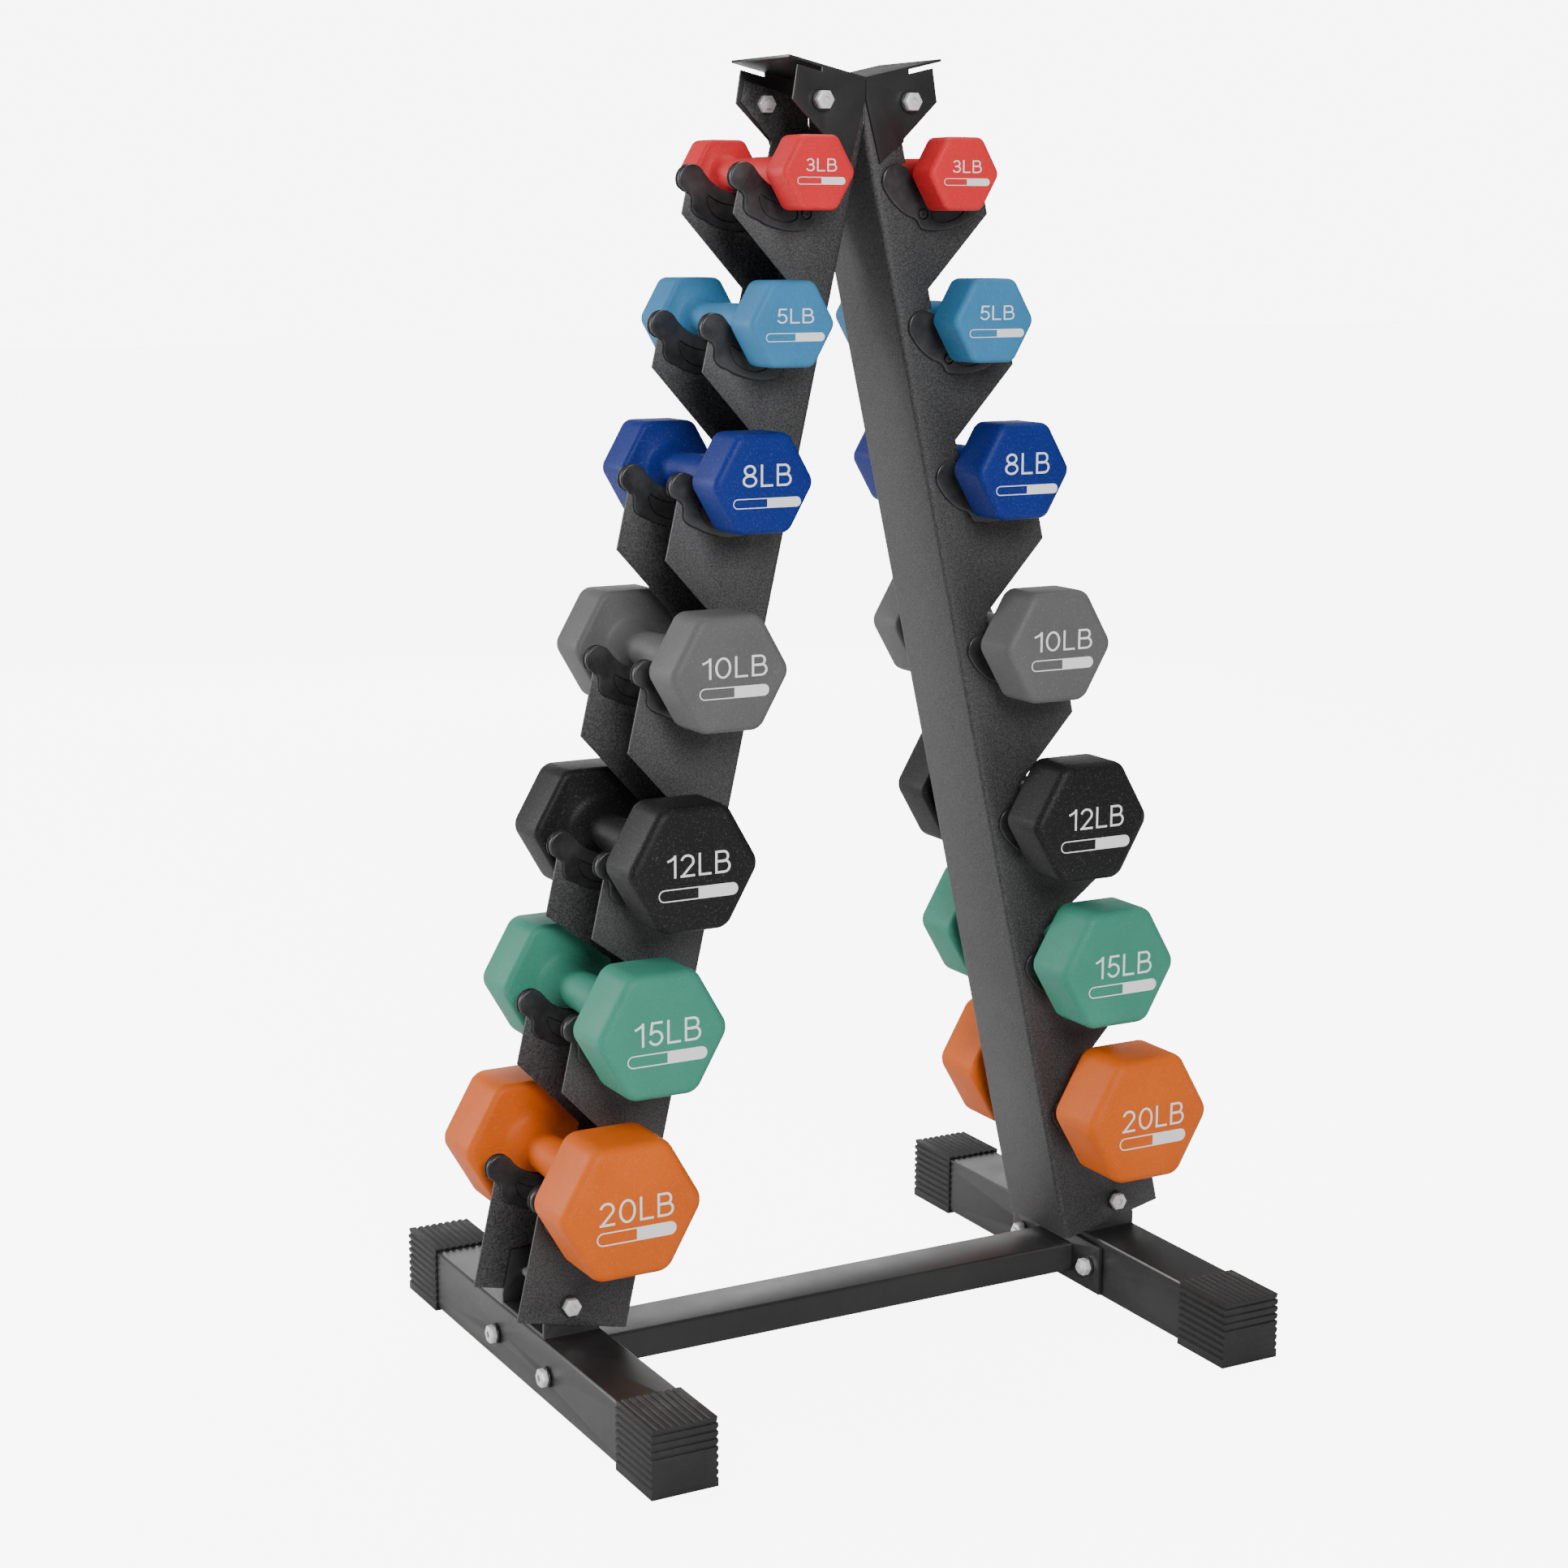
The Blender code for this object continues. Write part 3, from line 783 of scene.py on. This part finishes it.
class RACK_OT_fasteners(Operator):
    """Model the hex bolts with their washers and nuts"""

    bl_idname = "rack.fasteners"
    bl_label = "Bolts"

    def execute(self, context):
        for node in sorted(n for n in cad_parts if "bolt" in n):
            low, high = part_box(node)
            size = high - low
            centre = (low + high) / 2
            grip = max(size.x, size.y) - BOLT_BEYOND_GRIP
            turns = [0]
            if "crown" in node:
                # A short bolt in each ear, their heads outside
                turns = [0, pi]
                grip = EAR_GRIP
            elif size.x > size.y:
                turns = [pi / 2 if centre.x > 0 else -pi / 2]
            hexes = []
            discs = []
            reach = max(size.x, size.y) / 2 - BOLT_FRONT
            for turn in turns:
                place = Matrix.Translation(centre) @ Matrix.Rotation(turn, 4, "Z")
                place = place @ Matrix.Translation((0, -reach, 0))
                for master, pile in ((hex_bolt(grip), hexes), (washers(grip), discs)):
                    pile.append(copy_of(master, "bolt_copy", place))
                    bpy.data.objects.remove(master)
            piece = merge(f"hex_{node}", hexes)
            dress(piece, "zinc", "rack", [node])
            dress(merge(f"washers_{node}", discs), "smooth_coat", "rack")
        return {"FINISHED"}


# Cradle profile about the lowest point of its bowl: u outwards, v up
CHANNEL_DEPTH = 0.0955
THROAT_DEPTH = 0.0315
SEAT_DEPTH = 0.052
INNER_ARC = 0.027
OUTER_ARC = 0.0374
HORN = (0.0405, 0.010, 0.0115)
ARM = (-0.0353, 0.0085, 0.0127)
SCREW = (-0.0118, -0.0160)
STEP_HEIGHT = 0.0215
TIP_HEIGHT = 0.006
STEEL_MARGIN = 0.0033
STEEL_GAP = 0.0003

# Across the cradle: its thickness, the slot for the steel and its cutter's reach, the groove
# round its edge (width, depth), the recess's cutter, its trench's cutter (thickness, width),
# the screw's seat (radius, depth) and how far the screw is sunk
CRADLE_THICKNESS = 0.008
SLOT_WIDTH = 0.0026
EDGE_GROOVE = (0.0046, 0.0009)
RECESS_CUT = 0.0012
TRENCH = (0.0034, 0.0009)
SCREW_SEAT = (0.0047, 0.0017)
SCREW_SUNK = 0.0005
CUTTER_REACH = 0.075

# How far the horn stands outwards and up from the bowl's lowest point
HORN_OUT = 0.0520
HORN_TOP = 0.0215


def edge_u(depth, v):
    """Sideways place of a line that runs parallel to the web."""
    return (depth - SEAT_DEPTH) / cos(LEAN) - v * tan(LEAN)


def notch_outline(clearance):
    """The steel's edge under a cradle."""
    margin = STEEL_MARGIN - clearance
    step = STEP_HEIGHT + clearance
    tip = TIP_HEIGHT + clearance
    inner = INNER_ARC + margin
    outer = OUTER_ARC + margin
    top_angle = 180 + degrees((INNER_ARC - step) / inner)
    tip_angle = 360 - degrees(asin((OUTER_ARC - tip) / outer))
    points = [(edge_u(THROAT_DEPTH + clearance, step), step)]
    points += arc((0, INNER_ARC), inner, top_angle, 270, 10)
    points += arc((0, OUTER_ARC), outer, 270, tip_angle, 8)[1:]
    points.append((edge_u(CHANNEL_DEPTH + clearance, tip), tip))
    return points


def cradle_outline():
    """Arm, bowl, horn, kink, skirt with its lobe and the step at the screw."""
    start = 180 + degrees((INNER_ARC - 0.019) / INNER_ARC)
    touch = degrees(atan2(HORN[1] - OUTER_ARC, HORN[0]))
    points = arc(ARM[:2], ARM[2], 205, 85, 12)
    points += arc((0, INNER_ARC), INNER_ARC, start, 270, 12)
    points += arc((0, OUTER_ARC), OUTER_ARC, 270, 360 + touch, 8)[1:]
    points += arc(HORN[:2], HORN[2], 180 + touch, -30, 16)[1:]
    points += bow((0.0465, 0.0012), (0.0418, -0.0015), (0.0409, -0.0055), 4)
    points += bow((0.0412, -0.0105), (0.0380, -0.0165), (0.0300, -0.0205), 5)
    points += bow((0.0240, -0.0238), (0.0060, -0.0286), (-0.0090, -0.0284), 7)
    points += bow((-0.0120, -0.0277), (-0.0143, -0.0255), (-0.0160, -0.0222), 3)
    points += bow((-0.0182, -0.0200), (-0.0215, -0.0188), (-0.0250, -0.0176), 3)
    points += bow((-0.0300, -0.0148), (-0.0402, -0.0060), (-0.0462, 0.0030), 6)[:-1]
    return points


def pocket_outline():
    """A shallow recess that follows the skirt, outwards of the screw."""
    low = bow((-0.0025, -0.0212), (0.0080, -0.0228), (0.0200, -0.0190), 6)
    far = bow((0.0235, -0.0165), (0.0270, -0.0110), (0.0290, -0.0035), 5)
    top = bow((0.0270, -0.0015), (0.0140, -0.0078), (0.0000, -0.0092), 6)
    near = bow((-0.0030, -0.0108), (-0.0046, -0.0150), (-0.0042, -0.0195), 4)
    return low + far + top + near


class RACK_OT_cradles(Operator):
    """Model the moulded cradles and the screws that hold them"""

    bl_idname = "rack.cradles"
    bl_label = "Cradles"

    def execute(self, context):
        half = CRADLE_THICKNESS / 2
        master = slab("cradle_master", cradle_outline(), CRADLE_THICKNESS)

        def rim(first, second):
            return abs(first.y - second.y) < 1e-6 and abs(abs(first.y) - half) < 1e-5

        with shaping(master, "EDGE"):
            choose_edges(master, rim)
            bpy.ops.mesh.bevel(offset=sizes().cradle_edge, segments=3, affect="EDGES")
        # A groove round the middle of the edge parts the two moulded skirts
        fresh()
        bpy.ops.mesh.primitive_cube_add(size=1)
        groove = bpy.context.object
        groove_width, groove_depth = EDGE_GROOVE
        groove.scale = (0.2, groove_width, 0.2)
        settle(groove)
        core = outline_face("core", cradle_outline())
        with shaping(core):
            bpy.ops.mesh.select_all(action="SELECT")
            bpy.ops.mesh.inset(thickness=groove_depth, depth=0)
            bpy.ops.mesh.select_all(action="INVERT")
            bpy.ops.mesh.delete(type="FACE")
        thicken(core, 0.01)
        cut(groove, core)
        cut(master, groove)

        # The recess, the trench round it and the screw's seat, on both skirts
        trench_cut, trench_width = TRENCH
        seat_radius, seat_depth = SCREW_SEAT
        for side in (-1, 1):
            pocket = slab("pocket", pocket_outline(), RECESS_CUT)
            pocket.location.y = side * half
            settle(pocket)
            cut(master, pocket)
            trench = outline_face("trench", pocket_outline())
            with shaping(trench):
                bpy.ops.mesh.select_all(action="SELECT")
                bpy.ops.mesh.inset(thickness=trench_width, depth=0)
                bpy.ops.mesh.delete(type="FACE")
            thicken(trench, trench_cut)
            trench.location.y = side * half
            settle(trench)
            cut(master, trench)
            face = side * half
            seat = cylinder("seat", seat_radius, face - seat_depth, face + seat_depth, 32)
            seat.location = (SCREW[0], 0, SCREW[1])
            settle(seat)
            cut(master, seat)

        # The slot that straddles the steel
        far = CUTTER_REACH
        notch = notch_outline(STEEL_GAP)
        outer_u = edge_u(CHANNEL_DEPTH + STEEL_GAP, -far)
        throat_u = edge_u(THROAT_DEPTH + STEEL_GAP, far)
        steel = [(-far, -far), (-far, far), (throat_u, far), *notch, (outer_u, -far)]
        cut(master, slab("slot", steel, SLOT_WIDTH))
        even_out(master, 32)

        head = cylinder("screw_head", 0.0034, -0.0009, 0.0011, 32)
        soften(head, 0.0006, 3)
        socket = cylinder("socket", 0.0016, -0.0020, -0.0002, 6)
        cut(head, socket)
        even_out(head, 30)

        for side, sign in SIDES:
            for tier in range(1, 8):
                for end, along in ENDS:
                    node = f"cradle_{side}_{tier}_{end}"
                    low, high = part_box(node)
                    x = high.x - HORN_OUT if sign > 0 else low.x + HORN_OUT
                    y = (low.y + high.y) / 2
                    z = high.z - HORN_TOP
                    turn = 0 if sign > 0 else pi
                    place = Matrix.Translation((x, y, z)) @ Matrix.Rotation(turn, 4, "Z")
                    piece = copy_of(master, f"liner_{side}_{tier}_{end}", place)
                    dress(piece, "cradle_plastic", "rack", [node])
                    face = along * (half - SCREW_SUNK)
                    spot = (x + sign * SCREW[0], y + face, z + SCREW[1])
                    spin = 0 if along < 0 else pi
                    place = Matrix.Translation(spot) @ Matrix.Rotation(spin, 4, "Z")
                    screw = copy_of(head, f"liner_screw_{side}_{tier}_{end}", place)
                    dress(screw, "cradle_plastic", "rack")
        bpy.data.objects.remove(master)
        bpy.data.objects.remove(head)
        return {"FINISHED"}


# Rounding of a head's corners and of its two rims, as shares of its width across flats
CORNER_ROUND = 0.075
INNER_RIM = 0.055
OUTER_RIM = 0.080

# The handle: half its first ring, where the flare begins, its slimmest radius, how wide the
# flare reaches and grows, and how far it sinks into a head
HANDLE_START = 0.0002
FLARE_START = 0.68
SLIM = 0.94
FLARE_REACH = 0.86
FLARE_GROWTH = 0.62
SUNK = 0.0016


def hex_head(flats, length):
    """A hexagonal head along Y from its inner face, with soft corners and edges."""
    tip = flats / sqrt(3)
    head = cylinder("head", tip, 0, length, 6)
    head.data.transform(Matrix.Rotation(pi / 6, 4, "Y"))
    with shaping(head, "EDGE"):
        choose_edges(head, lambda a, b: abs(a.y - b.y) > length * 0.9)
        bpy.ops.mesh.bevel(offset=CORNER_ROUND * flats, segments=5, affect="EDGES")
    for end, rim in ((0, INNER_RIM * flats), (length, OUTER_RIM * flats)):
        with shaping(head, "EDGE"):
            choose_edges(head, lambda a, b, y=end: abs(a.y - y) + abs(b.y - y) < 1e-6)
            bpy.ops.mesh.bevel(offset=rim, segments=5, affect="EDGES", clamp_overlap=False)
    return head


def handle_shape(radius, inner, flats):
    """A slightly barrelled handle that flares softly into the heads."""
    bar = cylinder("handle", radius, -HANDLE_START, HANDLE_START, 48)
    flare = flats * 0.5 * FLARE_REACH
    stations = []
    for i in range(1, 5):
        stations.append((inner * 0.17 * i, radius * (1 - 0.004 * i * i)))
    reach = inner * FLARE_START
    for i in range(1, 8):
        t = i / 7
        growth = (1 - sqrt(max(0.0, 1 - t * t))) * (flare - radius * SLIM)
        wide = radius * SLIM + growth * FLARE_GROWTH
        stations.append((reach + (inner + SUNK - reach) * t, wide))
    for sign in (-1, 1):
        with shaping(bar):
            choose_faces(bar, lambda c, n, s=sign: abs(c.y - s * HANDLE_START) < 1e-5)
            y = HANDLE_START
            size = radius
            for place, wide in stations:
                step = (0, sign * (place - y), 0)
                bpy.ops.mesh.extrude_region_move(TRANSFORM_OT_translate={"value": step})
                ratio = wide / size
                bpy.ops.transform.resize(value=(ratio, 1, ratio))
                y = place
                size = wide
    return bar


class RACK_OT_dumbbells(Operator):
    """Model the hex dumbbells"""

    bl_idname = "rack.dumbbells"
    bl_label = "Dumbbells"

    def execute(self, context):
        for pounds in POUNDS:
            low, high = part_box(f"dumbbell_{pounds:02d}lb_right")
            flats = high.z - low.z
            inner = LIGHT_INNER_FACE if pounds < LIGHT_BELOW else INNER_FACE
            length = high.y - inner
            radius = HANDLES[pounds]
            back = hex_head(flats, length)
            back.location.y = inner
            settle(back)
            front = copy_of(back, "front", Matrix.Rotation(pi, 4, "Z"))
            master = handle_shape(radius, inner, flats)
            cut(master, back, "UNION")
            cut(master, front, "UNION")
            even_out(master, 40)
            for side, _ in SIDES:
                node = f"dumbbell_{pounds:02d}lb_{side}"
                place = Matrix.Translation(middle_of(node))
                piece = copy_of(master, f"hex_dumbbell_{pounds:02d}lb_{side}", place)
                slot = VINYL[pounds][0]
                dress(piece, slot, node, [node])
            bpy.data.objects.remove(master)
        return {"FINISHED"}


# The print: bar height and sideways shift as shares of the width across flats, the bar's
# outline as a share of its height, then pen width and letter gap as shares of cap height
BAR_HEIGHT = 0.100
PRINT_SHIFT = 0.02
BAR_LINE = 0.09
PEN = 0.096
LETTER_GAP = 0.17


def stadium(width, height, steps=10):
    """Outline of a bar with round ends."""
    side = (width - height) / 2
    right = arc((side, 0), height / 2, -90, 90, steps)
    left = arc((-side, 0), height / 2, 90, 270, steps)
    return right + left


def printed_bar(width, height):
    """A plain round-ended bar, outlined on its left half and filled on its right half."""
    bar = outline_face("bar", stadium(width, height))
    with shaping(bar):
        bpy.ops.mesh.select_all(action="SELECT")
        bpy.ops.mesh.inset(thickness=height * BAR_LINE, depth=0)
        bpy.ops.mesh.bisect(plane_co=(0, 0, 0), plane_no=(1, 0, 0))
        bpy.ops.mesh.select_all(action="DESELECT")

        def left_inside(middle, normal):
            return -width * 0.42 < middle.x < -0.0001 and abs(middle.z) < height * 0.2

        choose_faces(bar, left_inside)
        bpy.ops.mesh.delete(type="FACE")
    return bar


def oval(centre, wide, high, start, end, steps=14):
    """Points on an oval arc, angles in degrees."""
    points = []
    for u, v in arc((0, 0), 1, start, end, steps):
        points.append((centre[0] + wide * u, centre[1] + high * v))
    return points


def stroke(points, width, depth):
    """A pen stroke of even width along a path in X and Z, with square ends."""
    fresh()
    bpy.ops.mesh.primitive_plane_add(size=0.001)
    piece = bpy.context.object
    with shaping(piece, "VERT"):
        bpy.ops.mesh.select_all(action="SELECT")
        bpy.ops.mesh.merge(type="CENTER")
        bpy.ops.transform.translate(value=(points[0][0], -depth / 2, points[0][1]))
        for here, there in zip(points, points[1:]):
            step = (there[0] - here[0], 0, there[1] - here[1])
            bpy.ops.mesh.extrude_region_move(TRANSFORM_OT_translate={"value": step})
        bpy.ops.mesh.select_all(action="SELECT")
        bpy.ops.mesh.extrude_region_move(TRANSFORM_OT_translate={"value": (0, depth, 0)})
    drop(piece, "SOLIDIFY", thickness=width, offset=0, use_even_offset=True)
    return piece


def ring(centre, wide, high, width, depth):
    """A closed oval stroke, given by its outer size."""
    piece = outline_face("ring", oval(centre, wide, high, 0, 345, 23))
    with shaping(piece):
        bpy.ops.mesh.select_all(action="SELECT")
        bpy.ops.mesh.inset(thickness=width, depth=0)
        bpy.ops.mesh.delete(type="FACE")
    thicken(piece, depth)
    return piece


def glyph(mark, depth):
    """One mark with a cap height of 1, standing on z = 0 with its left side at x = 0."""
    low, high = PEN / 2, 1 - PEN / 2
    strokes = []
    rings = []
    if mark == "0":
        rings = [((0.35, 0.5), 0.35, 0.5)]
    elif mark == "1":
        strokes = [[(0.40, 0), (0.40, 1)], bow((0.40, 0.95), (0.26, 0.83), (0.06, 0.745), 6)]
    elif mark == "2":
        bowl = oval((0.33, 0.685), 0.265, 0.256, 168, -30)
        strokes = [bowl + [(0.38, 0.36), (0.13, 0.085)], [(0.02, low), (0.66, low)]]
    elif mark == "3":
        upper = oval((0.31, 0.722), 0.225, high - 0.722, 160, -90)
        lower = oval((0.31, 0.285), 0.265, 0.285 - low, 90, -162)
        strokes = [upper + [(0.20, 0.503)], [(0.22, 0.511)] + lower]
    elif mark == "5":
        bar = [(0.60, high), (0.17, high), (0.105, 0.47)]
        strokes = [bar, oval((0.315, 0.325), 0.265, 0.325 - low, 142, -160)]
    elif mark == "8":
        rings = [((0.335, 0.745), 0.280, 0.255), ((0.335, 0.278), 0.335, 0.278)]
    elif mark == "L":
        strokes = [[(low, 1), (low, low), (0.57, low)]]
    elif mark == "B":
        upper = oval((0.37, 0.735), 0.20, high - 0.735, 90, -90)
        lower = oval((0.41, 0.295), 0.235, 0.295 - low, 90, -90)
        strokes = [[(low, 0), (low, 1)]]
        strokes.append([(0.08, high), *upper, (0.08, 0.529)])
        strokes.append([(0.08, 0.531), *lower, (0.08, low)])
    parts = [stroke(points, PEN, depth) for points in strokes]
    parts += [ring(centre, wide, tall, PEN, depth) for centre, wide, tall in rings]
    for part in parts:
        even_out(part, 30)
    for other in parts[1:]:
        cut(parts[0], other, "UNION")
    return parts[0]


def printed_text(words, height, width, depth):
    """Marks side by side, fitted to a height and a width about the origin."""
    marks = []
    pen_x = 0
    for mark in words:
        piece = glyph(mark, depth)
        reach = max(corner.co.x for corner in piece.data.vertices)
        piece.data.transform(Matrix.Translation((pen_x, 0, 0)))
        pen_x += reach + LETTER_GAP
        marks.append(piece)
    text = merge("text", marks)
    total = pen_x - LETTER_GAP
    text.data.transform(Matrix.Translation((-total / 2, 0, -0.5)))
    text.data.transform(Matrix.Diagonal((width / total, 1, height, 1)))
    return text


class RACK_OT_print(Operator):
    """Print the weights and a plain bar on the heads' end faces"""

    bl_idname = "rack.print"
    bl_label = "Weight print"

    def execute(self, context):
        rise = sizes().print_height
        for pounds in POUNDS:
            low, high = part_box(f"dumbbell_{pounds:02d}lb_right")
            flats = high.z - low.z
            half_length = (high.y - low.y) / 2
            _, cap_height, text_wide, bar_wide, text_up, bar_up = VINYL[pounds]
            depth = 2 * rise
            words = f"{pounds}LB"
            text = printed_text(words, cap_height * flats, text_wide * flats, depth)
            shift = PRINT_SHIFT * flats
            text.data.transform(Matrix.Translation((shift, 0, text_up * flats)))
            bar = printed_bar(bar_wide * flats, BAR_HEIGHT * flats)
            thicken(bar, depth)
            bar.data.transform(Matrix.Translation((shift, 0, bar_up * flats)))
            front = merge("print_master", [text, bar])
            even_out(front, 30)
            front.data.transform(Matrix.Translation((0, -half_length, 0)))
            rear = copy_of(front, "rear", Matrix.Rotation(pi, 4, "Z"))
            master = merge("print_master", [rear, front])
            for side, _ in SIDES:
                node = f"dumbbell_{pounds:02d}lb_{side}"
                place = Matrix.Translation(middle_of(node))
                piece = copy_of(master, f"weight_print_{pounds:02d}lb_{side}", place)
                dress(piece, "print", node)
            bpy.data.objects.remove(master)
        return {"FINISHED"}


# ---------------------------------------------------------------- stage


# Name, place, size and power of each soft light; all of them aim at the rack's middle
LIGHTS = (
    ("key", (-1.0, -3.6, 2.3), (1.4, 1.4), 140),
    ("rim", (-2.8, 2.4, 1.5), (1.2, 2.4), 120),
    ("top", (0.6, 0.6, 3.4), (1.6, 1.6), 50),
    ("back", (1.2, 3.6, 1.0), (2.6, 1.2), 27),
)
RACK_MIDDLE = (0, 0, 0.5)
FLOOR_GLOW = 7.0
BACKDROP_GLOW = 7.7
AMBIENT_GLOW = 0.22

CAMERA_PLACE = (-1.1042, -1.9316, 0.8922)
CAMERA_AIM = (-0.0673, 0, 0.4621)
CAMERA_LENS = 64.9
CAMERA_SHIFT = 0.0165


def area_light(name, place, aim, size, power):
    lamp = bpy.data.lights.new(name, "AREA")
    lamp.shape = "RECTANGLE"
    lamp.size, lamp.size_y = size
    lamp.energy = power
    item = bpy.data.objects.new(name, lamp)
    item.location = place
    item.rotation_euler = (Vector(aim) - Vector(place)).to_track_quat("-Z", "Y").to_euler()
    item.visible_camera = False
    bpy.context.collection.objects.link(item)
    return item


class RACK_OT_stage(Operator):
    """Lay the pale floor, hang the soft lights and set the camera"""

    bl_idname = "rack.stage"
    bl_label = "Stage"

    def execute(self, context):
        fresh()
        bpy.ops.mesh.primitive_plane_add(size=40, location=(0, 0, -0.0005))
        floor = bpy.context.object
        floor.name = "floor"
        paper = Finish("pale studio floor")
        mottle = paper.noise(3.0, 3.0, 0.5)
        tone = paper.blend(mottle, (0.86, 0.86, 0.86), (0.90, 0.90, 0.90))
        glow = paper.node("ShaderNodeLightPath", {}, {}, "Is Camera Ray") * FLOOR_GLOW
        paper.coat(
            Base_Color=tone, Roughness=0.9, Emission_Color=(1, 1, 1), Emission_Strength=glow
        )
        floor.data.materials.append(paper.material)

        world = bpy.data.worlds.new("studio")
        world.use_nodes = True
        tree = world.node_tree
        ambient = tree.nodes["Background"]
        ambient.inputs["Strength"].default_value = AMBIENT_GLOW
        backdrop = tree.nodes.new("ShaderNodeBackground")
        backdrop.inputs["Strength"].default_value = BACKDROP_GLOW
        sight = tree.nodes.new("ShaderNodeLightPath")
        mix = tree.nodes.new("ShaderNodeMixShader")
        for shader in (ambient, backdrop):
            shader.inputs["Color"].default_value = (1, 1, 1, 1)
        tree.links.new(sight.outputs["Is Camera Ray"], mix.inputs["Fac"])
        tree.links.new(ambient.outputs[0], mix.inputs[1])
        tree.links.new(backdrop.outputs[0], mix.inputs[2])
        tree.links.new(mix.outputs[0], tree.nodes["World Output"].inputs["Surface"])
        context.scene.world = world

        for name, place, size, power in LIGHTS:
            area_light(name, place, RACK_MIDDLE, size, power)

        lens = bpy.data.cameras.new("camera")
        lens.lens = CAMERA_LENS
        lens.sensor_width = 36
        lens.shift_x = CAMERA_SHIFT
        lens.clip_start = 0.05
        camera = bpy.data.objects.new("camera", lens)
        camera.location = CAMERA_PLACE
        aim = Vector(CAMERA_AIM) - camera.location
        camera.rotation_euler = aim.to_track_quat("-Z", "Y").to_euler()
        context.collection.objects.link(camera)
        context.scene.camera = camera
        return {"FINISHED"}


class RACK_PT_panel(Panel):
    """The rack's pieces, sizes and colours"""

    bl_idname = "RACK_PT_panel"
    bl_label = "Dumbbell Rack"
    bl_space_type = "VIEW_3D"
    bl_region_type = "UI"
    bl_category = "Rack"

    def draw(self, context):
        column = self.layout.column()
        for operator in OPERATORS:
            column.operator(operator.bl_idname)
        for group in (context.scene.rack_sizes, context.scene.rack_colours):
            box = self.layout.box()
            for name in group.bl_rna.properties.keys():
                if name not in ("rna_type", "name"):
                    box.prop(group, name)


OPERATORS = (
    RACK_OT_uprights,
    RACK_OT_crown,
    RACK_OT_base,
    RACK_OT_caps,
    RACK_OT_fasteners,
    RACK_OT_cradles,
    RACK_OT_dumbbells,
    RACK_OT_print,
    RACK_OT_stage,
)
CLASSES = (RackSizes, RackColours, *OPERATORS, RACK_PT_panel)


def register():
    for item in CLASSES:
        bpy.utils.register_class(item)
    bpy.types.Scene.rack_sizes = PointerProperty(type=RackSizes)
    bpy.types.Scene.rack_colours = PointerProperty(type=RackColours)


def unregister():
    del bpy.types.Scene.rack_colours
    del bpy.types.Scene.rack_sizes
    for item in reversed(CLASSES):
        bpy.utils.unregister_class(item)


def main():
    register()
    for name in (
        "uprights",
        "crown",
        "base",
        "caps",
        "fasteners",
        "cradles",
        "dumbbells",
        "print",
        "stage",
    ):
        if getattr(bpy.ops.rack, name)() != {"FINISHED"}:
            raise RuntimeError(f"{name} was not finished")


if __name__ == "__main__":
    main()
